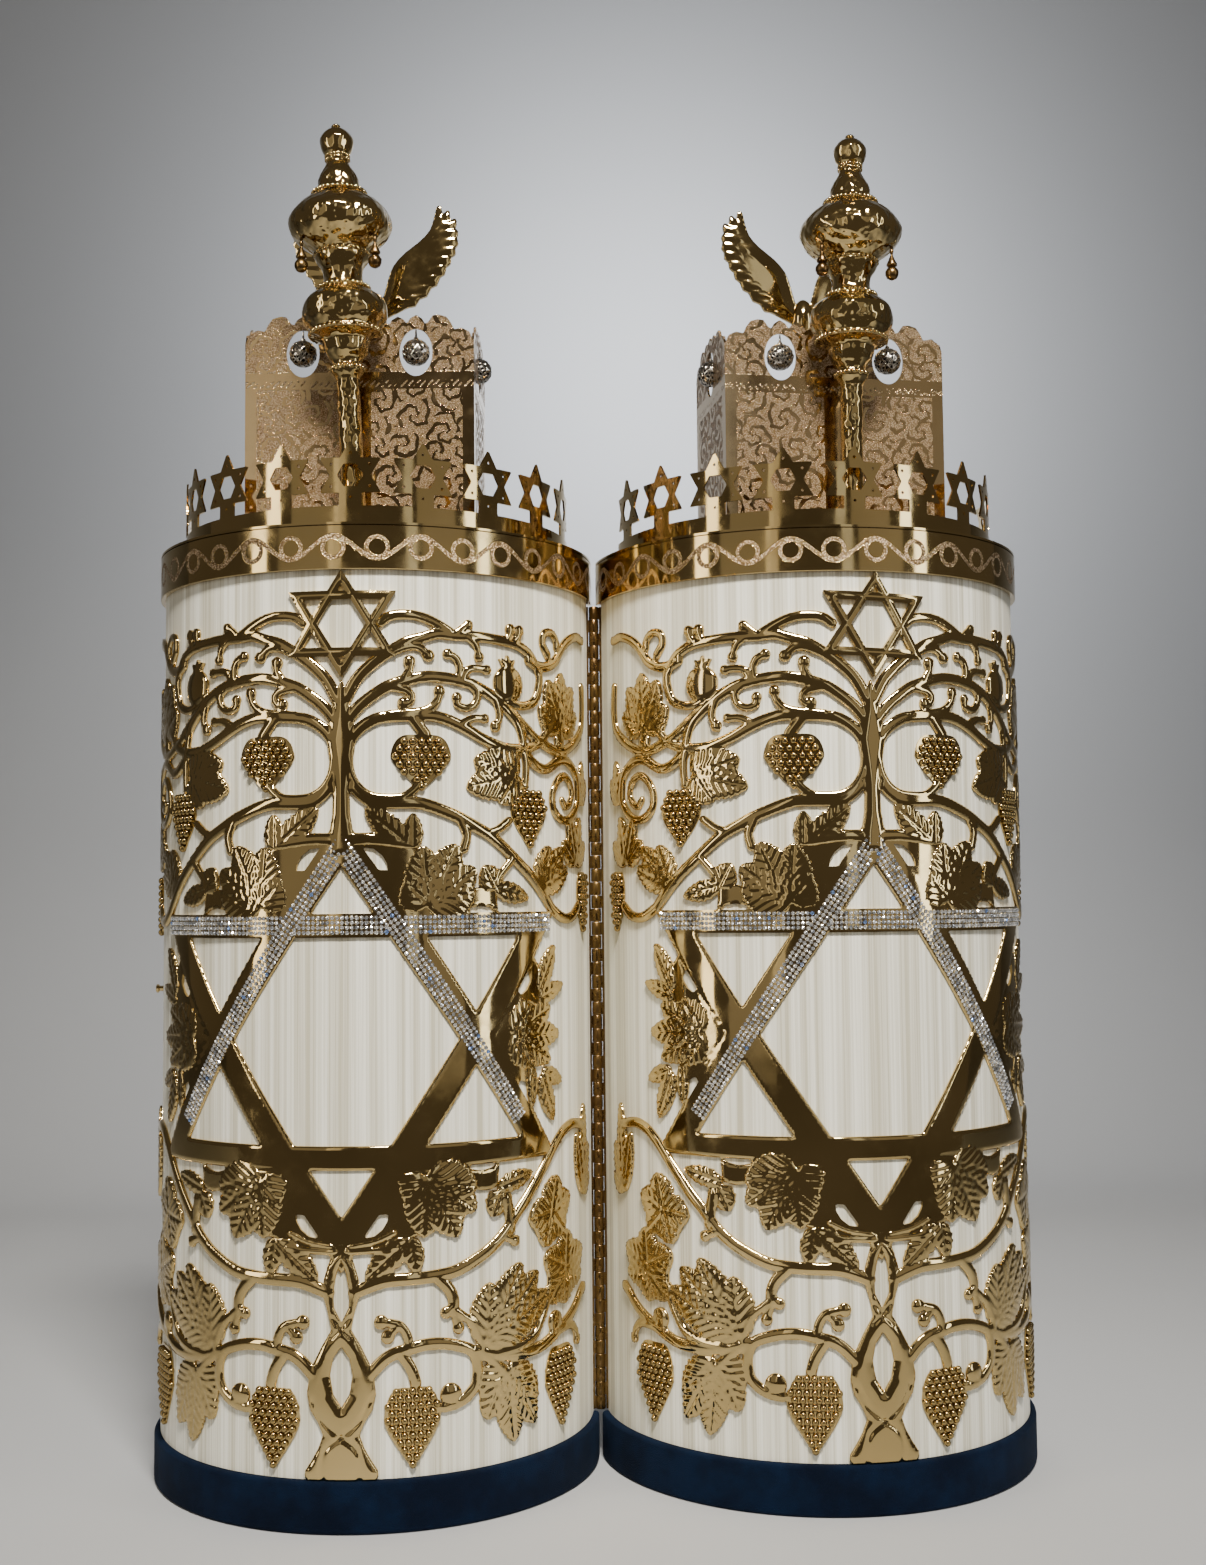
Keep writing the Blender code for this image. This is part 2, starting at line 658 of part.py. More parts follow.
def hanging_ball(centre):
    """A ball on the short wire that holds it under the top of its window."""
    window_top = OVAL_SIZE[1] / 2 - 0.02 * OVAL_SIZE[1] - FIT_GAP
    wire = turned(((BALL_RADIUS * 0.8, WIRE_RADIUS), (window_top, WIRE_RADIUS)), 4, centre)
    return join([ball(centre, (BALL_RADIUS,) * 3, 8, 3), wire])


def bell_angles():
    """Directions of the bells round the finial, one of them at its back."""
    return [math.pi / 2 + 2 * math.pi * bell / BELLS for bell in range(BELLS)]


def leaned(point, side):
    """A point of the upright finial, given from its foot, moved to where the leaning one has it."""
    lean = FINIAL_LEAN[side]
    across, deep, height = point
    return (
        FINIAL_FOOT[side] + across * math.cos(lean) + height * math.sin(lean),
        -FINIAL_OUT + deep,
        DECK + height * math.cos(lean) - across * math.sin(lean),
    )


def finial(side):
    """The turned finial with a lug for each bell."""
    outline = [(height * MM, radius * MM) for height, radius in FINIAL_OUTLINE]
    parts = [turned(outline, FINIAL_SIDES, (FINIAL_FOOT[side], -FINIAL_OUT, DECK), FINIAL_LEAN[side])]
    for angle in bell_angles():
        place = (BELL_CIRCLE * math.cos(angle), BELL_CIRCLE * math.sin(angle), BELL_LIFT + LUG_RADIUS)
        parts.append(ball(leaned(place, side), (LUG_RADIUS,) * 3, 6, 2))
    return join(parts)


def bell(angle, side):
    """A teardrop bell that hangs plumb under its lug."""
    place = (BELL_CIRCLE * math.cos(angle), BELL_CIRCLE * math.sin(angle), BELL_LIFT - FIT_GAP)
    shares = ((0.0, 0.16), (-0.4, 0.22), (-0.74, 1.0), (-0.92, 0.85), (-1.0, 0.3))
    outline = [(height * BELL_LENGTH, radius * BELL_RADIUS) for height, radius in reversed(shares)]
    return turned(outline, 6, leaned(place, side))


def winged_bird():
    """The bird with raised wings, on its turned post."""
    back = DECK + BIRD_LIFT
    deep = -BIRD_OUT
    post = ((0, POST_FOOT), (3 * MM, POST_FOOT), (6 * MM, POST_RADIUS), (BIRD_LIFT, POST_RADIUS))
    parts = [turned(post, 6, (0, deep, DECK))]
    parts.append(ball((0, deep, back), (9 * MM, 8 * MM, 17 * MM), 6, 3))
    parts.append(ball((0, deep + 8 * MM, back + 12 * MM), (5 * MM, 7 * MM, 5 * MM), 6, 2))
    for mirror in (1, -1):
        outline = [(mirror * across * MM, back + rise * MM) for across, rise in WING_OUTLINE]
        parts.append(prism(outline, deep - WING_THICKNESS / 2, deep + WING_THICKNESS / 2, "y"))
    return join(parts)


def hinge_leaf(side):
    """One leaf of the long hinge with every second knuckle, in the drum's own frame."""
    length = HINGE_TOP - HINGE_FOOT
    pitch = length / HINGE_KNUCKLES
    start = KNUCKLE_RADIUS + PIN_CLEARANCE
    plate = [(start, -MEETING_GAP / 2), (start + LEAF_WIDTH, -MEETING_GAP / 2)]
    plate += [(across, -MEETING_GAP / 2 - LEAF_THICKNESS) for across, _ in reversed(plate)]
    parts = [prism(plate, HINGE_FOOT, HINGE_TOP)]
    bore = PIN_RADIUS + PIN_CLEARANCE
    for knuckle in range(0 if side == "left" else 1, HINGE_KNUCKLES, 2):
        low = HINGE_FOOT + knuckle * pitch + FIT_GAP / 2
        high = HINGE_FOOT + (knuckle + 1) * pitch - FIT_GAP / 2
        sections = []
        for corner in range(6):
            angle = 2 * math.pi * (corner + 0.5) / 6
            near, far = bore / math.cos(math.pi / 6), KNUCKLE_RADIUS
            direction = np.array((math.cos(angle), math.sin(angle)))
            sections.append([
                (*(near * direction), low), (*(far * direction), low),
                (*(far * direction), high), (*(near * direction), high),
            ])
        parts.append(skin(sections, closed=True))
        tab = [(across, plate[0][1] - 0.1 * MM) for across in (bore * 1.3, start + 1 * MM)]
        tab += [(across, plate[-1][1] + 0.1 * MM) for across, _ in reversed(tab)]
        parts.append(prism(tab, low + 0.2 * MM, high - 0.2 * MM))
    mesh = join(parts)
    for vertex in mesh.vertices:
        vertex.co.x -= DRUM_REACH
    return mesh


def clasp(height, shape, length):
    """A small plate on the outer edge of the wall, with a turned piece standing out of its middle."""
    facet = math.pi / FACETS
    angle = math.pi / 2 - facet / 2
    flat = WALL_RADIUS * math.cos(facet / 2) + FIT_GAP
    wide, tall, thick = CLASP_PLATE
    corners = [(-wide / 2, -tall / 2), (wide / 2, -tall / 2), (wide / 2, tall / 2), (-wide / 2, tall / 2)]
    outline = [(thick + share * length, radius) for share, radius in shape]
    knob = turned([(thick / 2, shape[0][1]), *outline], 8)
    for vertex in knob.vertices:
        vertex.co.y, vertex.co.z = -vertex.co.z, vertex.co.y
    mesh = join([prism(corners, -thick, 0, "y"), knob])
    for vertex in mesh.vertices:
        across, out = vertex.co.x, flat - vertex.co.y
        vertex.co.x = out * math.sin(angle) + across * math.cos(angle)
        vertex.co.y = -out * math.cos(angle) + across * math.sin(angle)
        vertex.co.z += height
    return mesh


def hinge_pin():
    """The pin through all knuckles, in the left drum's frame."""
    return turned(((HINGE_FOOT, PIN_RADIUS), (HINGE_TOP, PIN_RADIUS)), 6, (-DRUM_REACH, 0, 0))


def pivot(side):
    """An empty on the hinge axis that carries one half."""
    way = -1 if side == "left" else 1
    empty = bpy.data.objects.new(side + "_pivot", None)
    empty.rotation_euler = (0, 0, way * LEAN_OPEN)
    bpy.context.scene.collection.objects.link(empty)
    return empty


def place(mesh, name, side, carrier, finish):
    """Puts a piece in its half; the left half is the mirror image of the right."""
    way = -1 if side == "left" else 1
    if way < 0:
        for vertex in mesh.vertices:
            vertex.co.x = -vertex.co.x
        mesh.flip_normals()
    mesh.name = name
    mesh.materials.clear()
    mesh.materials.append(finish)
    mesh.shade_smooth()
    mesh.set_sharp_from_angle(angle=math.radians(35))
    piece = bpy.data.objects.new(name, mesh)
    piece.parent = carrier
    piece.location = (way * DRUM_REACH, 0, 0)
    bpy.context.scene.collection.objects.link(piece)


def build_half(side, finishes):
    """All pieces of one half, on its own pivot."""
    gold, engraved, silver, velvet, cream, stones = finishes
    carrier = pivot(side)
    pieces = [
        ("half_base", half_disc(BASE_RADIUS, 0, BASE_HEIGHT), velvet),
        ("half_wall", half_ring(WALL_INNER, WALL_RADIUS, WALL_FOOT, WALL_TOP, WALL_EDGE), cream),
        ("openwork", openwork(), gold),
        ("crystal_bands", crystal_bands(), stones),
        ("band", half_ring(BAND_INNER, BAND_RADIUS, BODY_TOP - BAND_HEIGHT, WALL_TOP, MEETING_GAP), engraved),
        ("top_plate", half_disc(BAND_RADIUS, BODY_TOP, BODY_TOP + PLATE_THICKNESS), gold),
        ("star_ring", star_ring(), gold),
        ("crown", crown(), engraved),
        ("finial", finial(side), gold),
        ("winged_bird", winged_bird(), gold),
        ("hinge_leaf", hinge_leaf(side), gold),
    ]
    for number, centre in enumerate(ball_places(), 1):
        pieces.append((f"ball_{number}", hanging_ball(centre), silver))
    for number, angle in enumerate(bell_angles(), 1):
        pieces.append((f"bell_{number}", bell(angle, side), silver))
    if side == "left":
        pieces.append(("clasp_knob", clasp(CLASP_HEIGHT, KNOB_SHAPE, KNOB_LENGTH), gold))
        pieces.append(("hinge_pin", hinge_pin(), gold))
    else:
        pieces.append(("clasp_catch", clasp(CATCH_HEIGHT, CATCH_SHAPE, CATCH_LENGTH), gold))
    for name, mesh, finish in pieces:
        place(mesh, f"{side}_{name}", side, carrier, finish)
    return carrier


def centre(carriers):
    """Moves both halves together, so that the box round the whole case is centred over the origin."""
    bpy.context.view_layer.update()
    corners = []
    for piece in bpy.data.objects:
        if piece.type == "MESH":
            corners += [piece.matrix_world @ vertex.co for vertex in piece.data.vertices]
    for axis in (0, 1):
        reach = [corner[axis] for corner in corners]
        for carrier in carriers:
            carrier.location[axis] = -(min(reach) + max(reach)) / 2


def main():
    """Clears the scene, builds both halves and centres them."""
    for item in list(bpy.data.objects):
        bpy.data.objects.remove(item)
    finishes = (
        material("polished gold", (0.83, 0.62, 0.28), 0.12, 1.0),
        material("engraved gold", (0.80, 0.62, 0.42), 0.32, 1.0),
        material("dark silver", (0.33, 0.33, 0.35), 0.35, 1.0),
        material("navy velvet", (0.02, 0.03, 0.09), 0.95, 0.0),
        material("cream covering", (0.80, 0.77, 0.70), 0.45, 0.0),
        material("clear stones", (0.85, 0.88, 0.92), 0.05, 0.2),
    )
    centre([build_half(side, finishes) for side in ("left", "right")])


main()
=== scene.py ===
"""Looks of a round scroll case that stands open on its long hinge.

The case is two half drums. Each is drawn once in its own drum frame, in millimetres: x runs along
the meeting plane away from the hinge, -y points out of the drum and z is up. `Half.place` turns
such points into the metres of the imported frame, mirrored for the left half.
"""

import json
import logging
import math
from dataclasses import dataclass, field
from enum import Enum
from typing import Callable

import bpy
import numpy as np
from mathutils import Matrix, Vector


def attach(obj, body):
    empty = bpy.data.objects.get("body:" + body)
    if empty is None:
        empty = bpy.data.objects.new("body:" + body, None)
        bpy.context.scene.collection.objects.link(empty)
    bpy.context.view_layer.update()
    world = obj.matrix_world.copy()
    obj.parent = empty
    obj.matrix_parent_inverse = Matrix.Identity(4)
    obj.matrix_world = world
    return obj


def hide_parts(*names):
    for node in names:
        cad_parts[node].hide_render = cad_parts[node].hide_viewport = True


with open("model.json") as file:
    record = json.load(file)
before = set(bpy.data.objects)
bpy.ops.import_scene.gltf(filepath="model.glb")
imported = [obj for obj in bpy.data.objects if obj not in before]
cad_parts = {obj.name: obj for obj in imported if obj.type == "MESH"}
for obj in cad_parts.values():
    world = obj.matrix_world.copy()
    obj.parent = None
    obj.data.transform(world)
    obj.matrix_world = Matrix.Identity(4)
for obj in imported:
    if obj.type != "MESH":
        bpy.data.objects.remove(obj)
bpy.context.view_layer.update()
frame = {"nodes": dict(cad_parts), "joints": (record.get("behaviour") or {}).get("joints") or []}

LOG = logging.getLogger("scroll_case")
MM = 0.001

# How drawings are cut out: in millimetres, but for the slide and the slope, which are shares
MISS = 1e3
HEIGHT_MARGIN = 1.0
GROOVE_WIDTH = 1.1
BEVEL_DROP = 0.5
SLIDE_LIMIT = 0.85
LEAST_SLOPE = 0.25

# The drum frame, in millimetres and radians
DRUM_REACH = 150.0
LEAN_OPEN = math.radians(4.9)
DECK = 611.8
WALL_RADIUS = 145.0
BASE_RADIUS = 149.0
BODY_TOP = 610.0
DRAWN_RADIUS = 147.0
SHEET_SHIFT = 3.2


class Side(Enum):
    """Which half of the case a piece belongs to."""

    LEFT = -1
    RIGHT = 1


class Slot(Enum):
    """The record's material slots."""

    GOLD = "gold"
    ENGRAVED = "engraved"
    FILIGREE = "filigree"
    VELVET = "velvet"
    COVERING = "covering"
    STONES = "stones"


@dataclass
class Shape:
    """A mesh before it is placed: points in millimetres, faces of four corners, and values per point."""

    points: np.ndarray
    faces: np.ndarray
    values: dict[str, np.ndarray] = field(default_factory=dict)


@dataclass(frozen=True)
class Half:
    """One half of the case, with its body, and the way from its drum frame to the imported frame."""

    side: Side

    @property
    def name(self) -> str:
        """The half's name as the nodes' names start."""
        return self.side.name.lower()

    @property
    def body(self) -> str:
        """The rigid body that the half's pieces ride on."""
        return f"{self.name}_half"

    def place(self, points: np.ndarray) -> np.ndarray:
        """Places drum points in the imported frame.

        In words: the drum stands one reach from the hinge, turns about the hinge by the lean, and the
        left half is the mirror image of the right.

        Args:
            points: rows of x, y, z in millimetres.

        Returns:
            Rows of x, y, z in metres.
        """
        hinge = frame["joints"][0]["pos_m"]
        across = points[:, 0] + DRUM_REACH
        placed = np.empty_like(points, dtype=float)
        placed[:, 0] = self.side.value * (across * math.cos(LEAN_OPEN) - points[:, 1] * math.sin(LEAN_OPEN))
        placed[:, 1] = across * math.sin(LEAN_OPEN) + points[:, 1] * math.cos(LEAN_OPEN)
        placed[:, 2] = points[:, 2]
        placed *= MM
        placed[:, 0] += hinge[0]
        placed[:, 1] += hinge[1]
        return placed


def rolled(arc: np.ndarray, height: np.ndarray, radius: np.ndarray, shift: float = 0.0) -> np.ndarray:
    """Rolls drawn points round the drum: the angle is the arc over the drawn radius.

    Args:
        arc: distance along the drum from its front line, in millimetres.
        height: height in millimetres.
        radius: distance from the drum's axis in millimetres.
        shift: how far the drawing is slid away from the hinge.

    Returns:
        Rows of x, y, z.
    """
    angle = (arc + shift) / DRAWN_RADIUS
    return np.column_stack([
        item.ravel() for item in np.broadcast_arrays(radius * np.sin(angle), -radius * np.cos(angle), height)
    ])


def both_sides(outline: tuple | np.ndarray) -> np.ndarray:
    """A half outline followed by its mirror image, back to where it starts."""
    half_outline = np.array(outline, float)
    return np.vstack((half_outline, half_outline[::-1] * (-1, 1)))


def bare(shapes: list[Shape]) -> list[Shape]:
    """The shapes without their values."""
    return [Shape(shape.points, shape.faces) for shape in shapes]


def grid_faces(rows: int, columns: int, around: bool = False, closed_rows: bool = False) -> np.ndarray:
    """Faces of a grid of points, stored row by row.

    Args:
        rows: number of rows.
        columns: number of points in a row.
        around: whether the last column joins the first.
        closed_rows: whether the last row joins the first.

    Returns:
        Rows of four point numbers.
    """
    row = np.arange(rows if closed_rows else rows - 1)[:, None]
    column = np.arange(columns if around else columns - 1)[None, :]
    next_row, next_column = (row + 1) % rows, (column + 1) % columns
    corners = (row * columns + column, row * columns + next_column,
               next_row * columns + next_column, next_row * columns + column)
    return np.stack(np.broadcast_arrays(*corners), axis=-1).reshape(-1, 4)


def joined(shapes: list[Shape]) -> Shape:
    """Puts several shapes into one, keeping the values that all of them have."""
    offsets = np.cumsum([0] + [len(shape.points) for shape in shapes[:-1]])
    faces = np.vstack([shape.faces + offset for shape, offset in zip(shapes, offsets)])
    shared = set.intersection(*[set(shape.values) for shape in shapes])
    values = {key: np.concatenate([shape.values[key] for shape in shapes]) for key in shared}
    return Shape(np.vstack([shape.points for shape in shapes]), faces, values)


def turned(outline: np.ndarray, sides: int, centre: tuple[float, float, float] = (0, 0, 0)) -> Shape:
    """Turns an outline about an upright axis; rings of zero radius become closed poles.

    Args:
        outline: rows of height and radius, from the bottom up.
        sides: number of points in a ring.
        centre: the foot of the axis.

    Returns:
        The turned shape, with value `turn` (angle as a share of a full turn) and `rise` (height).
    """
    angle = np.linspace(0, 2 * math.pi, sides, endpoint=False)
    radius, height = outline[:, 1][:, None], outline[:, 0][:, None]
    points = np.stack(np.broadcast_arrays(
        centre[0] + radius * np.cos(angle), centre[1] + radius * np.sin(angle), centre[2] + height,
    ), axis=-1).reshape(-1, 3)
    rise = np.repeat(outline[:, 0], sides)
    turn = np.tile(angle / (2 * math.pi), len(outline))
    return Shape(points, grid_faces(len(outline), sides, around=True), {"rise": rise, "turn": turn})


def flowing(knots: np.ndarray, steps: int) -> np.ndarray:
    """A smooth line through knots: each span is the Catmull-Rom cubic of its four nearest knots.

    Args:
        knots: rows of coordinates.
        steps: number of points to a span.

    Returns:
        Rows of points, with the last knot at the end.
    """
    knots = np.asarray(knots, float)
    ends = np.vstack((2 * knots[0] - knots[1], knots, 2 * knots[-1] - knots[-2]))
    t = np.linspace(0, 1, steps, endpoint=False)[None, :, None]
    one, two, three, four = (ends[i:len(ends) - 3 + i, None, :] for i in range(4))
    line = 0.5 * (2 * two + (three - one) * t + (2 * one - 5 * two + 4 * three - four) * t ** 2
                  + (3 * two - one - 3 * three + four) * t ** 3)
    return np.vstack((line.reshape(-1, knots.shape[1]), knots[-1]))


def bead(centre: np.ndarray, radius: float, sides: int = 6, rows: int = 4) -> Shape:
    """A small closed ball round each centre.

    Args:
        centre: rows of x, y, z.
        radius: the ball's radius.
        sides: points round each ball.
        rows: rings from pole to pole.

    Returns:
        All the balls as one shape.
    """
    angle = np.linspace(-math.pi / 2, math.pi / 2, rows + 1)
    one = turned(np.column_stack((radius * np.sin(angle), radius * np.cos(angle))), sides)
    points = (one.points[None, :, :] + np.asarray(centre, float)[:, None, :]).reshape(-1, 3)
    offsets = np.arange(len(centre))[:, None, None] * len(one.points)
    return Shape(points, (one.faces[None] + offsets).reshape(-1, 4))


def make_piece(name: str, shape: Shape, half: Half, finish: bpy.types.Material,
               replaced: tuple[str, ...] = (), crease: float = 40.0) -> bpy.types.Object:
    """Places a shape in its half and makes it a piece that rides on that half's body.

    Args:
        name: the piece's name after the half's own.
        shape: the shape in the half's drum frame.
        half: the half that carries it.
        finish: its material.
        replaced: names, after the half's own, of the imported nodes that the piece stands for.
        crease: angle in degrees past which an edge stays sharp.

    Returns:
        The new object, at the origin.
    """
    full_name = f"{half.name}_{name}"
    faces = shape.faces if half.side is Side.RIGHT else shape.faces[:, ::-1]
    mesh = bpy.data.meshes.new(full_name)
    mesh.vertices.add(len(shape.points))
    mesh.vertices.foreach_set("co", half.place(shape.points).astype(np.float32).ravel())
    mesh.loops.add(faces.size)
    mesh.loops.foreach_set("vertex_index", faces.astype(np.int32).ravel())
    mesh.polygons.add(len(faces))
    mesh.polygons.foreach_set("loop_start", np.arange(0, faces.size, 4, dtype=np.int32))
    for key, values in shape.values.items():
        mesh.attributes.new(key, "FLOAT", "POINT").data.foreach_set("value", values.astype(np.float32))
    mesh.update(calc_edges=True)
    mesh.validate()
    mesh.shade_smooth()
    mesh.set_sharp_from_angle(angle=math.radians(crease))
    mesh.materials.append(finish)
    piece = bpy.data.objects.new(full_name, mesh)
    bpy.context.scene.collection.objects.link(piece)
    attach(piece, half.body)
    if replaced:
        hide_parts(*[f"{half.name}_{node}" for node in replaced])
    LOG.info("%s: %d faces", full_name, len(faces))
    return piece


# Plates cut out of a grid


@dataclass(frozen=True)
class LeafWork:
    """How a leaf blade is cut, swelled and chased, in millimetres and shares."""

    tooth_pitch: float = 5.0
    tooth_depth: float = 0.16
    tooth_slant: float = 0.5
    fullness: float = 1.12
    belly: float = 0.85
    bluntness: float = 0.62
    edge_slope: float = 0.8
    swell: float = 1.0
    rib_depth: float = 0.7
    rib_width: float = 0.9
    stroke_depth: float = 0.26
    stroke_slant: float = 0.9
    stroke_pitch: float = 5.6
    stroke_start: float = 0.6
    stroke_rise: float = 1.5
    stroke_fall: float = 1.2


LEAF_WORK = LeafWork()


@dataclass
class Field:
    """A drawing on a grid: each point's distance to the cut edge, negative inside, and its height."""

    along: np.ndarray
    up: np.ndarray
    distance: np.ndarray
    height: np.ndarray

    @staticmethod
    def blank(along: tuple[float, float], up: tuple[float, float], pitch: float) -> "Field":
        """An empty drawing.

        Args:
            along: lowest and highest first coordinate.
            up: lowest and highest second coordinate.
            pitch: grid spacing.

        Returns:
            The drawing, with nothing in it.
        """
        columns = np.arange(along[0], along[1] + pitch / 2, pitch)
        rows = np.arange(up[0], up[1] + pitch / 2, pitch)
        grid_along, grid_up = np.meshgrid(columns, rows)
        far = np.full(grid_along.shape, MISS)
        return Field(grid_along, grid_up, far, np.zeros_like(far))

    def add(self, distance: np.ndarray, height: np.ndarray | float) -> None:
        """Adds a form: edges join as the nearest, heights as the highest where the form is."""
        self.distance = np.minimum(self.distance, distance)
        self.height = np.maximum(self.height, np.where(distance < HEIGHT_MARGIN, height, 0.0))

    def stroke(self, path: np.ndarray, widths: np.ndarray, edge: float, crown: float) -> None:
        """Adds a stem along a path: a strip whose height rises from its edges as a parabola.

        Args:
            path: rows of the two coordinates.
            widths: full width at each of the path's points.
            edge: height at the strip's edge.
            crown: height over the edge at its middle.
        """
        low, high = path.min(axis=0) - widths.max(), path.max(axis=0) + widths.max()
        near = (self.along > low[0]) & (self.along < high[0]) & (self.up > low[1]) & (self.up < high[1])
        if not near.any():
            return
        place = np.column_stack((self.along[near], self.up[near]))
        start, end = path[:-1], path[1:]
        step = end - start
        length = np.maximum((step ** 2).sum(axis=1), 1e-9)
        share = ((place[:, None, :] - start[None]) * step[None]).sum(axis=2) / length[None]
        share = np.clip(share, 0, 1)
        gap = np.linalg.norm(place[:, None, :] - start[None] - share[..., None] * step[None], axis=2)
        reach = (widths[:-1] + (widths[1:] - widths[:-1]) * share) / 2
        inside = (gap - reach).argmin(axis=1)
        pick = np.arange(len(place))
        full = np.full(self.distance.shape, MISS)
        rise = np.zeros(self.distance.shape)
        full[near] = (gap - reach)[pick, inside]
        rise[near] = edge + crown * np.clip(1 - (gap / reach)[pick, inside] ** 2, 0, 1)
        self.add(full, rise)

    def knob(self, centre: tuple[float, float], radius: float, edge: float, crown: float) -> None:
        """Adds a round knob: a dome over a circle."""
        away = np.hypot(self.along - centre[0], self.up - centre[1])
        self.add(away - radius, edge + crown * np.clip(1 - (away / radius) ** 2, 0, 1))

    def groove(self, path: np.ndarray, depth: float) -> None:
        """Sinks a narrow groove along a path."""
        nearest = np.full(self.along.shape, MISS)
        for start, end in zip(path[:-1], path[1:]):
            step = end - start
            share = ((self.along - start[0]) * step[0] + (self.up - start[1]) * step[1]) / (step @ step)
            share = np.clip(share, 0, 1)
            gap = np.hypot(self.along - start[0] - share * step[0], self.up - start[1] - share * step[1])
            nearest = np.minimum(nearest, gap)
        self.height = self.height - depth * np.exp(-(nearest / GROOVE_WIDTH) ** 2)

    def blade(self, base: tuple[float, float], tip: tuple[float, float], width: float, edge: float) -> None:
        """Adds one leaf blade from its base to its tip.

        In words: the half width along the blade is a sine that is fullest before the middle, with
        small saw teeth; the blade swells between its rib and its edge, the rib is a narrow groove,
        and chased strokes slant off it.

        Args:
            base: where the blade springs.
            tip: where it ends.
            width: its greatest width.
            edge: its height at the edge.
        """
        work = LEAF_WORK
        run = np.subtract(tip, base)
        length = math.hypot(*run)
        ahead = run / length
        gone_along, gone_up = self.along - base[0], self.up - base[1]
        x = gone_along * ahead[0] + gone_up * ahead[1]
        y = np.abs(gone_up * ahead[0] - gone_along * ahead[1])
        share = np.clip(x / length, 0, 1)
        teeth = 1 - work.tooth_depth * ((x - work.tooth_slant * y) / work.tooth_pitch % 1.0)
        reach = width / 2 * work.fullness * np.sin(math.pi * share ** work.belly) ** work.bluntness * teeth
        past = np.maximum(np.maximum(-x, x - length), 0)
        inside = (y < reach) & (past == 0)
        distance = np.where(inside, work.edge_slope * (y - reach), np.hypot(np.maximum(y - reach, 0), past))
        swell = work.swell * np.sqrt(np.clip(1 - (y / np.maximum(reach, 0.5)) ** 2, 0, 1))
        groove = work.rib_depth * np.exp(-(y / work.rib_width) ** 2)
        strokes = work.stroke_depth * np.sin(2 * math.pi * (x - work.stroke_slant * y) / work.stroke_pitch)
        strokes *= np.clip((y - work.stroke_start) / work.stroke_rise, 0, 1)
        strokes *= np.clip((reach - y) / work.stroke_fall, 0, 1)
        self.add(distance, edge + swell - groove + strokes)

    def polygon(self, corners: np.ndarray, height: float, bevel: float = 0.6) -> None:
        """Adds a flat plate over a polygon, its height falling at its edge over the bevel.

        Args:
            corners: rows of the two coordinates, in order round the polygon.
            height: the plate's height.
            bevel: how far in from the edge the plate is lowered.
        """
        distance = polygon_distance(self.along, self.up, corners)
        self.add(distance, height - BEVEL_DROP * np.clip(1 + distance / bevel, 0, 1))

    def cut(self, distance: np.ndarray) -> None:
        """Takes a form away."""
        self.distance = np.maximum(self.distance, -distance)

    def mirrored(self) -> "Field":
        """The drawing together with its mirror image across the line where the first coordinate is 0."""
        def both(grid: np.ndarray, sign: float = 1.0) -> np.ndarray:
            """A grid beside its mirror image."""
            return np.hstack((sign * grid[:, :0:-1], grid))
        return Field(both(self.along, -1.0), both(self.up), both(self.distance), both(self.height))

    def solid(self, bend: Callable[[np.ndarray, np.ndarray, np.ndarray], np.ndarray], back: float) -> Shape:
        """Cuts the drawing out of its grid as a closed plate.

        In words: squares whose middle is inside are kept, the points on their border slide along the
        distance's slope onto the cut edge, a back of the same squares lies at the back's level, and
        walls join the two.

        Args:
            bend: turns the two coordinates and a height into x, y, z.
            back: the level of the back.

        Returns:
            The plate, with value `relief`, the height.
        """
        rows, columns = self.distance.shape
        d = self.distance
        middle = (d[:-1, :-1] + d[1:, :-1] + d[:-1, 1:] + d[1:, 1:]) / 4
        kept = np.pad(middle < 0, 1)
        counts = kept[:-1, :-1].astype(int) + kept[1:, :-1] + kept[:-1, 1:] + kept[1:, 1:]
        rim = (counts > 0) & (counts < 4)
        pitch = self.along[0, 1] - self.along[0, 0]
        slope_up, slope_along = np.gradient(d, pitch)
        steep = np.maximum(slope_up ** 2 + slope_along ** 2, LEAST_SLOPE)
        slide = np.where(rim, np.clip(d / steep, -SLIDE_LIMIT * pitch, SLIDE_LIMIT * pitch), 0.0)
        along, up = self.along - slide * slope_along, self.up - slide * slope_up
        front = bend(along.ravel(), up.ravel(), self.height.ravel())
        behind = bend(along.ravel(), up.ravel(), np.full(rows * columns, back))
        number = np.arange(rows * columns).reshape(rows, columns)
        total = rows * columns
        inner = kept[1:-1, 1:-1]
        low_left, low_right = number[:-1, :-1][inner], number[:-1, 1:][inner]
        high_left, high_right = number[1:, :-1][inner], number[1:, 1:][inner]
        face = np.column_stack((low_left, low_right, high_right, high_left))
        faces = np.vstack((face, face[:, ::-1] + total, *plate_walls(kept, number)))
        used = np.zeros(2 * total, bool)
        used[faces.ravel()] = True
        renumber = np.cumsum(used) - 1
        points = np.vstack((front, behind))[used]
        relief = np.concatenate((self.height.ravel(), np.full(total, back)))[used]
        return Shape(points, renumber[faces], {"relief": relief})


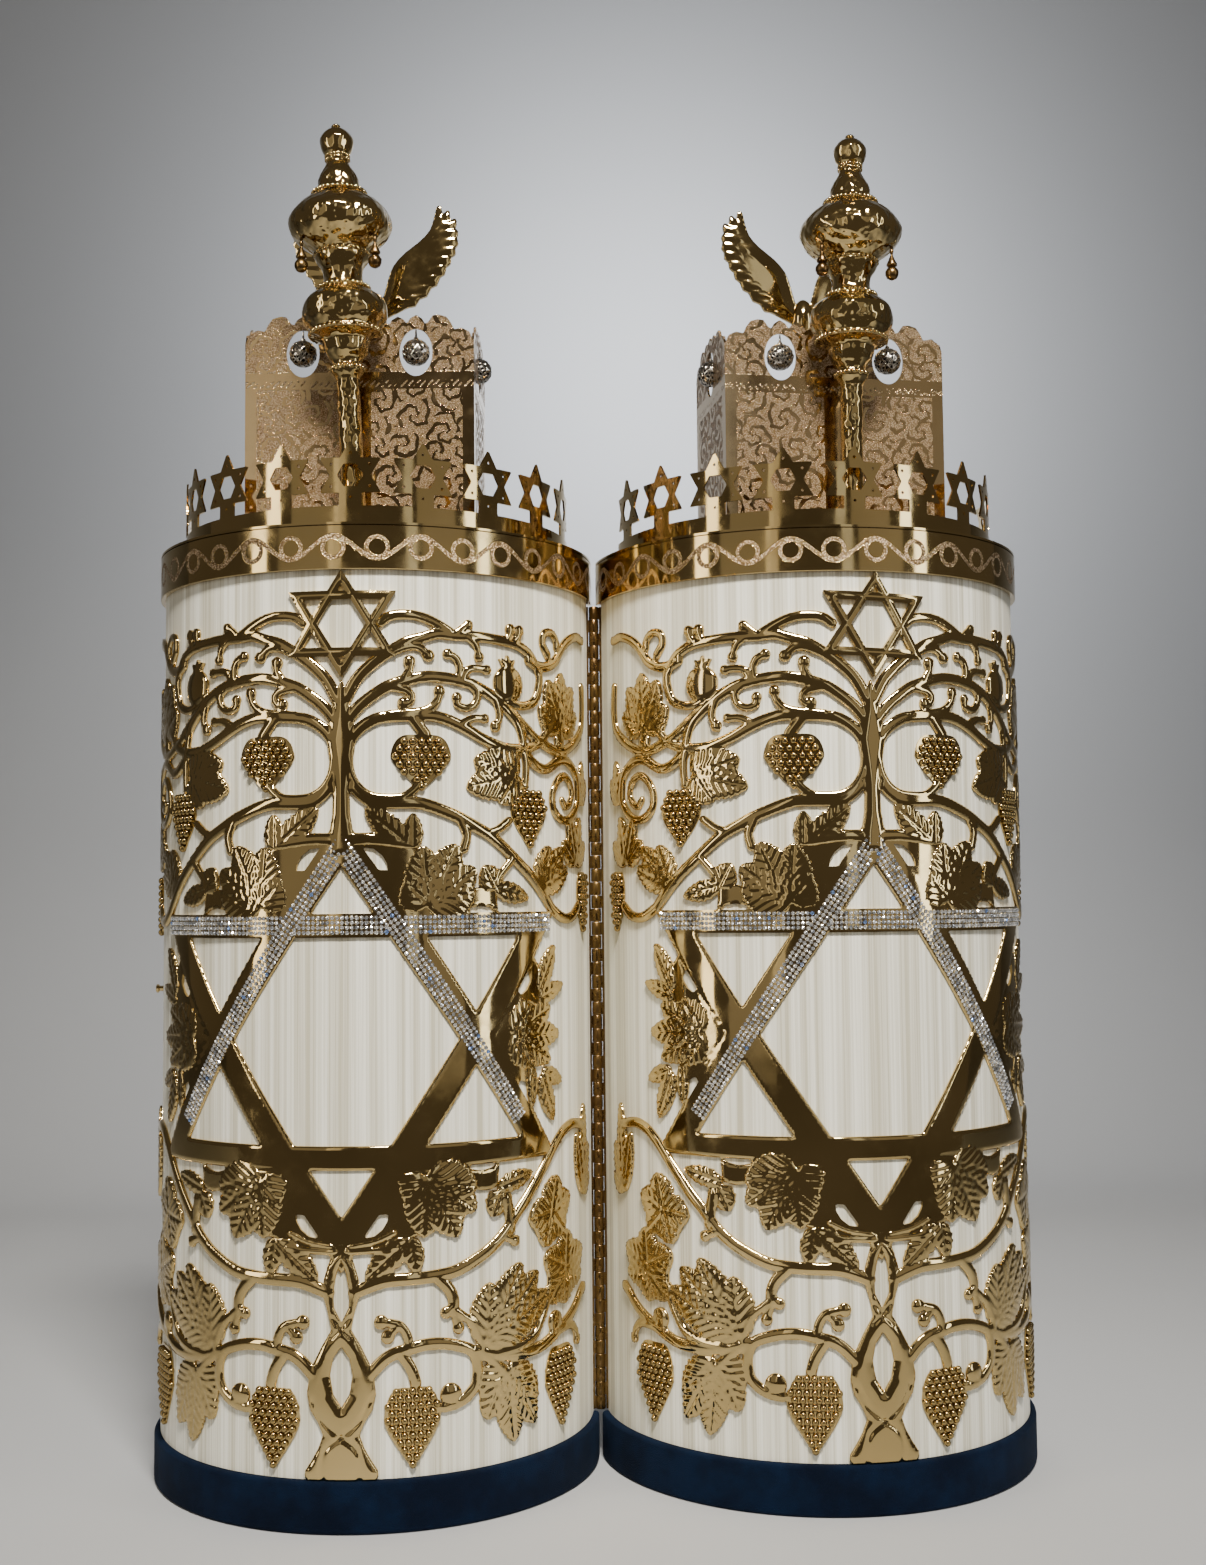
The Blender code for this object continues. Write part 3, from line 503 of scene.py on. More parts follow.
def plate_walls(kept: np.ndarray, number: np.ndarray) -> list[np.ndarray]:
    """Walls from a plate's front to its back, wherever a kept square meets one that isn't kept.

    Args:
        kept: which squares of the grid are kept, with a rim of squares that aren't.
        number: the grid points' numbers on the front; the back's follow on.

    Returns:
        Rows of four point numbers, for each of the four sides that a square has.
    """
    flat, tall = kept[1:-1, :], kept[:, 1:-1]
    walls = []
    for start, end, turn in (
        (number[:-1, :], number[1:, :], flat[:, 1:] & ~flat[:, :-1]),
        (number[1:, :], number[:-1, :], flat[:, :-1] & ~flat[:, 1:]),
        (number[:, 1:], number[:, :-1], tall[1:, :] & ~tall[:-1, :]),
        (number[:, :-1], number[:, 1:], tall[:-1, :] & ~tall[1:, :]),
    ):
        first, last = start[turn], end[turn]
        walls.append(np.column_stack((first, last, last + number.size, first + number.size)))
    return walls


def polygon_distance(along: np.ndarray, up: np.ndarray, corners: np.ndarray) -> np.ndarray:
    """Distance from each grid point to a polygon's edge, negative inside.

    In words: the nearest of the distances to the sides, with its sign from how often an upward ray
    crosses them.

    Args:
        along: first coordinates.
        up: second coordinates.
        corners: rows of the two coordinates.

    Returns:
        The distances, in the grid's shape.
    """
    corners = np.asarray(corners, float)
    nearest = np.full(along.shape, np.inf)
    crossings = np.zeros(along.shape, int)
    for start, end in zip(corners, np.roll(corners, -1, axis=0)):
        step = end - start
        share = ((along - start[0]) * step[0] + (up - start[1]) * step[1]) / max(step @ step, 1e-9)
        share = np.clip(share, 0, 1)
        gap = np.hypot(along - start[0] - share * step[0], up - start[1] - share * step[1])
        nearest = np.minimum(nearest, gap)
        spans = (start[0] > along) != (end[0] > along)
        level = start[1] + (along - start[0]) * step[1] / (step[0] if abs(step[0]) > 1e-9 else 1e-9)
        crossings += spans & (level > up)
    return np.where(crossings % 2 == 1, -nearest, nearest)


# Materials


class Nodes:
    """A short way to add shader nodes to one tree."""

    def __init__(self, tree: bpy.types.NodeTree) -> None:
        """Keeps the tree."""
        self.tree = tree

    def add(self, kind: str, **settings: object) -> bpy.types.Node:
        """Adds a node of a kind and gives it its settings."""
        node = self.tree.nodes.new(kind)
        for key, value in settings.items():
            setattr(node, key, value)
        return node

    def wire(self, source: object, target: bpy.types.NodeSocket) -> None:
        """Links a socket into an input, or sets the input to a number or colour."""
        if isinstance(source, bpy.types.NodeSocket):
            self.tree.links.new(source, target)
        else:
            target.default_value = source

    def math(self, operation: str, *values: object) -> bpy.types.NodeSocket:
        """A Math node's result."""
        node = self.add("ShaderNodeMath", operation=operation)
        for value, target in zip(values, node.inputs):
            self.wire(value, target)
        return node.outputs[0]

    def blend(self, share: object, first: object, second: object) -> bpy.types.NodeSocket:
        """A mix of two colours."""
        node = self.add("ShaderNodeMix", data_type="RGBA")
        for value, target in zip((share, first, second), (node.inputs[0], node.inputs[6], node.inputs[7])):
            self.wire(value, target)
        return node.outputs[2]

    def span(self, value: object, low: float, high: float, start: float, end: float) -> bpy.types.NodeSocket:
        """A value moved from one range to another, smoothly and within its ends."""
        node = self.add("ShaderNodeMapRange", interpolation_type="SMOOTHSTEP")
        for item, target in zip((value, low, high, start, end), node.inputs):
            self.wire(item, target)
        return node.outputs[0]

    def noise(self, place: object, scale: object, detail: float = 2.0,
              rough: float = 0.5) -> bpy.types.NodeSocket:
        """A soft random pattern's value."""
        node = self.add("ShaderNodeTexNoise")
        for value, key in ((place, "Vector"), (scale, "Scale"), (detail, "Detail"), (rough, "Roughness")):
            self.wire(value, node.inputs[key])
        return node.outputs["Fac"]

    def bump(self, height: object, depth: float, shader: bpy.types.Node) -> None:
        """Gives a shader a surface that rises with a value, up to a depth in metres."""
        node = self.add("ShaderNodeBump")
        node.inputs["Distance"].default_value = depth
        self.wire(height, node.inputs["Height"])
        self.wire(node.outputs[0], shader.inputs["Normal"])

    def object_place(self) -> bpy.types.NodeSocket:
        """The point's place in metres."""
        return self.add("ShaderNodeTexCoord").outputs["Object"]

    def value_of(self, name: str) -> bpy.types.NodeSocket:
        """A value stored on the mesh."""
        return self.add("ShaderNodeAttribute", attribute_name=name).outputs["Fac"]


def begun(name: str, constants: dict[str, object]) -> tuple[bpy.types.Material, Nodes, bpy.types.Node]:
    """Starts a material.

    Args:
        name: the material's name.
        constants: the shader's inputs that stay the same all over.

    Returns:
        The material, its nodes and its shader.
    """
    finish = bpy.data.materials.new(name)
    finish.use_nodes = True
    shader = finish.node_tree.nodes["Principled BSDF"]
    for key, value in constants.items():
        shader.inputs[key].default_value = value
    return finish, Nodes(finish.node_tree), shader


@dataclass(frozen=True)
class Handling:
    """The shared node group of handled metal: a slow drift of tone, faint smears, a beaten surface."""

    name: str = "handled_metal"
    toned: tuple[float, float, float, float] = (0.30, 0.21, 0.08, 1)
    tone_share: float = 0.45
    drift_scale: float = 9.0
    smear_scale: float = 55.0
    smear_depth: float = 0.10

    def group(self) -> bpy.types.NodeTree:
        """Builds the group once.

        Returns:
            A group with inputs Colour, Roughness and Beat Size and outputs Colour, Roughness and Height.
        """
        if self.name in bpy.data.node_groups:
            return bpy.data.node_groups[self.name]
        tree = bpy.data.node_groups.new(self.name, "ShaderNodeTree")
        for name, kind, start in (
            ("Colour", "NodeSocketColor", (0.8, 0.6, 0.3, 1)),
            ("Roughness", "NodeSocketFloat", 0.1), ("Beat Size", "NodeSocketFloat", 60.0),
        ):
            tree.interface.new_socket(name, in_out="INPUT", socket_type=kind).default_value = start
        for name, kind in (
            ("Colour", "NodeSocketColor"), ("Roughness", "NodeSocketFloat"), ("Height", "NodeSocketFloat"),
        ):
            tree.interface.new_socket(name, in_out="OUTPUT", socket_type=kind)
        nodes = Nodes(tree)
        given, made = nodes.add("NodeGroupInput"), nodes.add("NodeGroupOutput")
        place = nodes.object_place()
        drift = nodes.span(nodes.noise(place, self.drift_scale, 3.0), 0.35, 0.7, 0.0, 1.0)
        darker = nodes.blend(self.tone_share, given.outputs["Colour"], self.toned)
        nodes.wire(nodes.blend(drift, given.outputs["Colour"], darker), made.inputs["Colour"])
        smear = nodes.span(nodes.noise(place, self.smear_scale, 4.0, 0.65), 0.4, 0.75, 0.0, self.smear_depth)
        nodes.wire(nodes.math("ADD", given.outputs["Roughness"], smear), made.inputs["Roughness"])
        nodes.wire(nodes.noise(place, given.outputs["Beat Size"], 1.0), made.inputs["Height"])
        return tree


@dataclass(frozen=True)
class Metal:
    """A polished or dulled metal, with the handling group's drift."""

    name: str
    colour: tuple[float, float, float]
    roughness: float
    beat_size: float
    beat_depth: float

    def start(self) -> tuple[bpy.types.Material, Nodes, bpy.types.Node, bpy.types.Node]:
        """The material with its shader and the handling group, wired together."""
        finish, nodes, shader = begun(self.name, {"Metallic": 1.0})
        handled = nodes.add("ShaderNodeGroup", node_tree=Handling().group())
        handled.inputs["Colour"].default_value = (*self.colour, 1)
        handled.inputs["Roughness"].default_value = self.roughness
        handled.inputs["Beat Size"].default_value = self.beat_size
        nodes.wire(handled.outputs["Colour"], shader.inputs["Base Color"])
        nodes.wire(handled.outputs["Roughness"], shader.inputs["Roughness"])
        return finish, nodes, shader, handled

    def make(self) -> bpy.types.Material:
        """Builds the plain metal."""
        finish, nodes, shader, handled = self.start()
        nodes.bump(handled.outputs["Height"], self.beat_depth, shader)
        return finish


class Pattern(Enum):
    """What the engraving of a frosted metal shows."""

    RINGS = "rings and a wave"
    SCROLLS = "leafy scrolls"


@dataclass(frozen=True)
class Ringwork:
    """The measures of the band's rings and wave, in millimetres."""

    pitch: float = 27.0
    ring: float = 6.5
    line: float = 1.25
    swing: float = 7.0
    level: float = 595.85
    start: float = 8.0
    thinning: float = 0.8
    soft: float = 0.3


@dataclass(frozen=True)
class Scrollwork:
    """The measures of the leafy scrolls: lengths in millimetres, scales in one over a millimetre."""

    wander_scale: float = 0.08
    wander_reach: float = 7.0
    cell: float = 19.0
    scatter: float = 0.75
    arms: float = 2.0
    winding: float = 0.80
    leaflets: float = 9.0
    leaflet_winding: float = 0.6
    leaflet_share: float = 0.30
    arm_low: float = 0.42
    arm_high: float = 0.56


@dataclass(frozen=True)
class FrostedMetal(Metal):
    """Gilt metal with a frosted, stippled pattern."""

    pattern: Pattern = Pattern.RINGS
    frost_colour: tuple[float, float, float] = (0.80, 0.62, 0.42)
    grain_scale: float = 900.0
    pit_colour: tuple[float, float, float, float] = (0.20, 0.13, 0.06, 1)
    frost_roughness: float = 0.32
    depth: float = 0.0009

    def make(self) -> bpy.types.Material:
        """Builds the metal: the frost is paler, rough and stippled, the rest is polished."""
        finish, nodes, shader, handled = self.start()
        grain = nodes.add("ShaderNodeTexVoronoi")
        nodes.wire(nodes.object_place(), grain.inputs["Vector"])
        grain.inputs["Scale"].default_value = self.grain_scale
        frost = self.ring_mask(nodes) if self.pattern is Pattern.RINGS else self.scroll_mask(nodes)
        pits = nodes.span(grain.outputs["Distance"], 0.15, 0.6, 0.0, 1.0)
        pale = nodes.blend(pits, (*self.frost_colour, 1), self.pit_colour)
        nodes.wire(nodes.blend(frost, handled.outputs["Colour"], pale), shader.inputs["Base Color"])
        rougher = nodes.math("MULTIPLY", frost, self.frost_roughness)
        nodes.wire(nodes.math("ADD", handled.outputs["Roughness"], rougher), shader.inputs["Roughness"])
        stipple = nodes.math("MULTIPLY", nodes.math("MULTIPLY", frost, grain.outputs["Distance"]), 0.8)
        sunk = nodes.math("MULTIPLY", frost, -0.5)
        nodes.bump(nodes.math("ADD", stipple, sunk), self.depth, shader)
        return finish

    def ring_mask(self, nodes: Nodes) -> bpy.types.NodeSocket:
        """The band's rings and wave: rings of one pitch on the middle line, a sine of two pitches."""
        work = Ringwork()
        along = nodes.math("SUBTRACT", nodes.value_of("along"), work.start)
        over = nodes.math("SUBTRACT", nodes.value_of("up"), work.level)
        near = nodes.math("WRAP", along, work.pitch / 2, -work.pitch / 2)
        squares = nodes.math("ADD", nodes.math("MULTIPLY", near, near), nodes.math("MULTIPLY", over, over))
        off_ring = nodes.math("SUBTRACT", nodes.math("SQRT", squares), work.ring)
        rings = nodes.math("SUBTRACT", nodes.math("ABSOLUTE", off_ring), work.line)
        swung = nodes.math("COSINE", nodes.math("MULTIPLY", along, math.pi / work.pitch))
        crest = nodes.math("MULTIPLY", swung, work.swing)
        gap = nodes.math("ABSOLUTE", nodes.math("SUBTRACT", over, crest))
        wave = nodes.math("SUBTRACT", nodes.math("MULTIPLY", gap, work.thinning), work.line)
        return nodes.span(nodes.math("MINIMUM", rings, wave), -work.soft, work.soft, 1.0, 0.0)

    def scroll_mask(self, nodes: Nodes) -> bpy.types.NodeSocket:
        """The frost of the engraved fields, less the scrolls that are left polished in it.

        In words: each point knows its nearest scattered centre; a spiral arm is where twice the angle
        round that centre, plus a share of the distance, comes to a whole turn, and a quicker wave
        along the arm gives it leaflets.
        """
        work = Scrollwork()
        flat = nodes.add("ShaderNodeCombineXYZ")
        nodes.wire(nodes.value_of("along"), flat.inputs[0])
        nodes.wire(nodes.value_of("up"), flat.inputs[1])
        wander = nodes.add("ShaderNodeTexNoise")
        nodes.wire(flat.outputs[0], wander.inputs["Vector"])
        wander.inputs["Scale"].default_value = work.wander_scale
        shaken = nodes.add("ShaderNodeVectorMath", operation="MULTIPLY_ADD")
        nodes.wire(wander.outputs["Color"], shaken.inputs[0])
        shaken.inputs[1].default_value = (work.wander_reach, work.wander_reach, 0.0)
        nodes.wire(flat.outputs[0], shaken.inputs[2])
        cells = nodes.add("ShaderNodeTexVoronoi", voronoi_dimensions="2D")
        nodes.wire(shaken.outputs[0], cells.inputs["Vector"])
        cells.inputs["Scale"].default_value = 1 / work.cell
        cells.inputs["Randomness"].default_value = work.scatter
        offset = nodes.add("ShaderNodeVectorMath", operation="SUBTRACT")
        nodes.wire(shaken.outputs[0], offset.inputs[0])
        nodes.wire(cells.outputs["Position"], offset.inputs[1])
        apart = nodes.add("ShaderNodeSeparateXYZ")
        nodes.wire(offset.outputs[0], apart.inputs[0])
        angle = nodes.math("ARCTAN2", apart.outputs[1], apart.outputs[0])
        length = nodes.add("ShaderNodeVectorMath", operation="LENGTH")
        nodes.wire(offset.outputs[0], length.inputs[0])

        def wave(turns: float, winding: float) -> bpy.types.NodeSocket:
            """The sine of some turns of the angle, wound on with the distance from the centre."""
            wound = nodes.math("MULTIPLY", length.outputs["Value"], winding)
            return nodes.math("SINE", nodes.math("ADD", nodes.math("MULTIPLY", angle, turns), wound))
        leaflets = nodes.math("MULTIPLY", wave(work.leaflets, work.leaflet_winding), work.leaflet_share)
        arm = nodes.math("ADD", wave(work.arms, work.winding), leaflets)
        ground = nodes.span(nodes.value_of("frost"), 0.35, 0.65, 0.0, 1.0)
        return nodes.math("MULTIPLY", ground, nodes.span(arm, work.arm_low, work.arm_high, 1.0, 0.0))


@dataclass(frozen=True)
class WireMetal(Metal):
    """Filigree: bright wires over gaps painted almost black as shade."""

    cell_scale: float = 420.0
    # Painted shade: the near-black colour of the gaps stands for the dark inside seen through the openings.
    gap_shade_colour: tuple[float, float, float, float] = (0.012, 0.011, 0.010, 1)
    gap_roughness: float = 0.4
    depth: float = 0.0008

    def make(self) -> bpy.types.Material:
        """Builds the filigree: near a cell's edge runs a wire; inside it the gap is painted almost black, the
        shade seen through the openings.
        """
        finish, nodes, shader, handled = self.start()
        cells = nodes.add("ShaderNodeTexVoronoi", feature="DISTANCE_TO_EDGE")
        nodes.wire(nodes.object_place(), cells.inputs["Vector"])
        cells.inputs["Scale"].default_value = self.cell_scale
        gap = nodes.span(cells.outputs["Distance"], 0.10, 0.22, 0.0, 1.0)
        # The gaps get the painted shade colour, the wires the metal.
        nodes.wire(nodes.blend(gap, handled.outputs["Colour"], self.gap_shade_colour), shader.inputs["Base Color"])
        rougher = nodes.math("MULTIPLY", gap, self.gap_roughness)
        nodes.wire(nodes.math("ADD", handled.outputs["Roughness"], rougher), shader.inputs["Roughness"])
        nodes.bump(nodes.math("SUBTRACT", 1.0, gap), self.depth, shader)
        return finish


@dataclass(frozen=True)
class StripedSatin:
    """The cream covering: satin with fine upright stripes of uneven width."""

    name: str = "cream striped satin"
    shaded: tuple[float, float, float, float] = (0.56, 0.53, 0.41, 1)
    bright: tuple[float, float, float, float] = (0.93, 0.93, 0.83, 1)
    stretch: float = 0.004
    broad_scale: float = 0.10
    fine_scale: float = 0.55
    thread_scale: float = 2.4
    thread_depth: float = 0.0002

    def make(self) -> bpy.types.Material:
        """Builds the satin from the value `along`, in millimetres round the drum, and `up`."""
        finish, nodes, shader = begun(self.name, {"Sheen Weight": 0.15})
        stretched = nodes.add("ShaderNodeCombineXYZ")
        nodes.wire(nodes.value_of("along"), stretched.inputs[0])
        nodes.wire(nodes.math("MULTIPLY", nodes.value_of("up"), self.stretch), stretched.inputs[1])
        place = stretched.outputs[0]
        broad = nodes.span(nodes.noise(place, self.broad_scale, 1.0), 0.42, 0.58, 0.0, 0.55)
        fine = nodes.span(nodes.noise(place, self.fine_scale, 3.0, 0.7), 0.42, 0.58, 0.0, 0.45)
        stripe = nodes.math("ADD", broad, fine)
        nodes.wire(nodes.blend(stripe, self.shaded, self.bright), shader.inputs["Base Color"])
        nodes.wire(nodes.span(stripe, 0.0, 1.0, 0.34, 0.58), shader.inputs["Roughness"])
        nodes.bump(nodes.noise(place, self.thread_scale, 2.0), self.thread_depth, shader)
        return finish


@dataclass(frozen=True)
class Velvet:
    """Navy velvet: dark, with a pale sheen and brushed patches."""

    name: str = "navy velvet"
    deep: tuple[float, float, float, float] = (0.0005, 0.0035, 0.013, 1)
    brushed: tuple[float, float, float, float] = (0.0015, 0.009, 0.030, 1)
    brush_scale: float = 28.0
    pile_scale: float = 1800.0
    pile_depth: float = 0.0006

    def make(self) -> bpy.types.Material:
        """Builds the velvet."""
        finish, nodes, shader = begun(self.name, {
            "Roughness": 0.9, "Specular IOR Level": 0.12, "Sheen Weight": 0.03, "Sheen Roughness": 0.45,
            "Sheen Tint": (0.25, 0.42, 0.75, 1),
        })
        place = nodes.object_place()
        lie = nodes.span(nodes.noise(place, self.brush_scale, 4.0, 0.6), 0.35, 0.7, 0.0, 1.0)
        nodes.wire(nodes.blend(lie, self.deep, self.brushed), shader.inputs["Base Color"])
        nodes.bump(nodes.noise(place, self.pile_scale, 2.0), self.pile_depth, shader)
        return finish


@dataclass(frozen=True)
class Stones:
    """Foil-backed cut stones: bright facets that differ from stone to stone."""

    name: str = "cut stones"
    grey: tuple[float, float, float, float] = (0.42, 0.45, 0.50, 1)
    clear: tuple[float, float, float, float] = (0.98, 0.99, 1.0, 1)
    blue: tuple[float, float, float, float] = (0.30, 0.48, 0.95, 1)
    blue_from: float = 0.975

    def make(self) -> bpy.types.Material:
        """Builds the stones from the value `spark`, one number to a stone."""
        finish, nodes, shader = begun(self.name, {"Metallic": 0.85, "Roughness": 0.06, "Coat Weight": 0.6})
        spark = nodes.value_of("spark")
        tone = nodes.blend(nodes.span(spark, 0.0, 0.7, 0.0, 1.0), self.grey, self.clear)
        chosen = nodes.span(spark, self.blue_from, self.blue_from + 0.005, 0.0, 1.0)
        nodes.wire(nodes.blend(chosen, tone, self.blue), shader.inputs["Base Color"])
        return finish


@dataclass(frozen=True)
class Finishes:
    """All materials of the case."""

    gold: bpy.types.Material
    chased: bpy.types.Material
    grape_shade_gold: bpy.types.Material
    banded: bpy.types.Material
    scrolled: bpy.types.Material
    filigree: bpy.types.Material
    shade_bronze: bpy.types.Material
    velvet: bpy.types.Material
    satin: bpy.types.Material
    stones: bpy.types.Material

    @staticmethod
    def make() -> "Finishes":
        """Builds every finish once."""
        yellow = (0.66, 0.495, 0.225)
        return Finishes(
            gold=Metal("polished gold", yellow, 0.05, 30.0, 0.0003).make(),
            chased=Metal("chased gold", yellow, 0.07, 130.0, 0.0024).make(),
            # The grapes get a darker copy of the gold: painted shade for the dark hollows between the packed
            # grapes.
            grape_shade_gold=Metal("toned gold", (0.40, 0.29, 0.12), 0.13, 30.0, 0.0001).make(),
            banded=FrostedMetal("banded gold", yellow, 0.07, 30.0, 0.0002).make(),
            scrolled=FrostedMetal("scrolled gold", (0.58, 0.43, 0.24), 0.09, 30.0, 0.0002, Pattern.SCROLLS,
                                  (0.66, 0.51, 0.37), 1300.0).make(),
            filigree=WireMetal("filigree silver", (0.62, 0.60, 0.56), 0.16, 30.0, 0.0002).make(),
            # This bronze is much darker than the gold as painted shade: for the hinge in the crease where the
            # drums meet and for the bells hanging under the bulb.
            shade_bronze=Metal("aged bronze", (0.17, 0.10, 0.04), 0.26, 200.0, 0.0004).make(),
            velvet=Velvet().make(),
            satin=StripedSatin().make(),
            stones=Stones().make(),
        )


# The drum


@dataclass(frozen=True)
class Drum:
    """The half drum: velvet foot, striped wall, engraved band and top plate."""

    base_height: float = 31.0
    base_round: float = 2.5
    wall_thickness: float = 7.0
    band_radius: float = 148.5
    band_height: float = 28.0
    plate_thickness: float = 1.5
    meeting_gap: float = 0.6
    fit_gap: float = 0.3
    wall_gap: float = 1.8
    band_ease: float = 0.4
    corner_steps: int = 5
    sides: int = 180

    def section_swept(self, section: np.ndarray, edge: float) -> Shape:
        """Sweeps a closed section of radius and height through half a turn, with flat ends.

        In words: the half turn stops where each radius meets the plane at the edge's distance.

        Args:
            section: rows of radius and height, in order round the section.
            edge: distance of the flat ends from the meeting plane.

        Returns:
            The swept shape with values `along` and `up` in millimetres.
        """
        radius, height = section[:, 0][None, :], section[:, 1][None, :]
        limit = np.arccos(np.clip(edge / np.maximum(radius, edge), -1, 1))
        share = np.linspace(-1, 1, self.sides + 1)[:, None]
        angle = share * limit
        spread = np.broadcast_arrays(radius * np.sin(angle), -radius * np.cos(angle), height)
        points = np.stack(spread, axis=-1)
        rows, columns = points.shape[:2]
        faces = grid_faces(rows, columns, around=True)[:, ::-1]
        half = columns // 2
        step = np.arange(half - 1)
        cap = np.column_stack((step, step + 1, columns - 2 - step, columns - 1 - step))
        last = cap + (rows - 1) * columns
        along = np.broadcast_to(angle * DRAWN_RADIUS, points.shape[:2])
        values = {"along": along.ravel(), "up": np.broadcast_to(height, points.shape[:2]).ravel()}
        return Shape(points.reshape(-1, 3), np.vstack((faces, cap, last[:, ::-1])), values)

    def base(self) -> Shape:
        """The velvet foot: a half-round block with softly rounded rims."""
        turn = np.linspace(0, math.pi / 2, self.corner_steps)
        soft, top = self.base_round, self.base_height
        low = np.column_stack((BASE_RADIUS - soft + soft * np.sin(turn), soft - soft * np.cos(turn)))
        high = np.column_stack((BASE_RADIUS - soft + soft * np.cos(turn), top - soft + soft * np.sin(turn)))
        section = np.vstack(((self.meeting_gap, 0.0), low, high, (self.meeting_gap, top)))
        return self.section_swept(section, self.meeting_gap)

    def wall(self) -> Shape:
        """The wall with its covering, hollow inside."""
        low, high = self.base_height + self.fit_gap, BODY_TOP - self.fit_gap
        inner = WALL_RADIUS - self.wall_thickness
        section = np.array(((inner, low), (WALL_RADIUS, low), (WALL_RADIUS, high), (inner, high)))
        return self.section_swept(section, self.wall_gap)

    def band(self) -> Shape:
        """The gilt band round the wall's top, its front edges a little eased."""
        low, high = BODY_TOP - self.band_height, BODY_TOP - self.fit_gap
        inner, outer, ease = WALL_RADIUS + self.fit_gap, self.band_radius, self.band_ease
        section = np.array((
            (inner, low), (outer - ease, low), (outer, low + ease),
            (outer, high - ease), (outer - ease, high), (inner, high),
        ))
        return self.section_swept(section, self.meeting_gap)

    def plate(self) -> Shape:
        """The gilt plate on the drum's top."""
        near, far = self.meeting_gap, self.band_radius
        low, high = BODY_TOP, BODY_TOP + self.plate_thickness
        section = np.array(((near, low), (far, low), (far, high), (near, high)))
        return self.section_swept(section, self.meeting_gap)

    def build(self, half: Half, finishes: Finishes) -> None:
        """Makes the drum's pieces for one half."""
        make_piece("velvet_foot", self.base(), half, finishes.velvet, ("half_base",))
        make_piece("covered_wall", self.wall(), half, finishes.satin, ("half_wall",))
        make_piece("engraved_band", self.band(), half, finishes.banded, ("band",))
        make_piece("gilt_plate", self.plate(), half, finishes.gold, ("top_plate",))


# The openwork, drawn on the unrolled sheet in millimetres: along from the trunk, and height


@dataclass(frozen=True)
class Stem:
    """A vine stem on the unrolled sheet: its points, width, how thin it gets and the knob it ends in."""

    width: float
    points: tuple[tuple[float, float], ...]
    taper: float = 1.0
    knob: float = 0.0


@dataclass(frozen=True)
class VineLeaf:
    """A leaf: the point its blades spring from, the blades' width and their tips, one or several."""

    base: tuple[float, float]
    width: float
    tips: tuple[tuple[float, float], ...]


@dataclass(frozen=True)
class GrapeBunch:
    """A bunch of grapes: its middle, width, height and the spacing of its grapes."""

    arc: float
    height: float
    width: float
    tall: float
    pitch: float


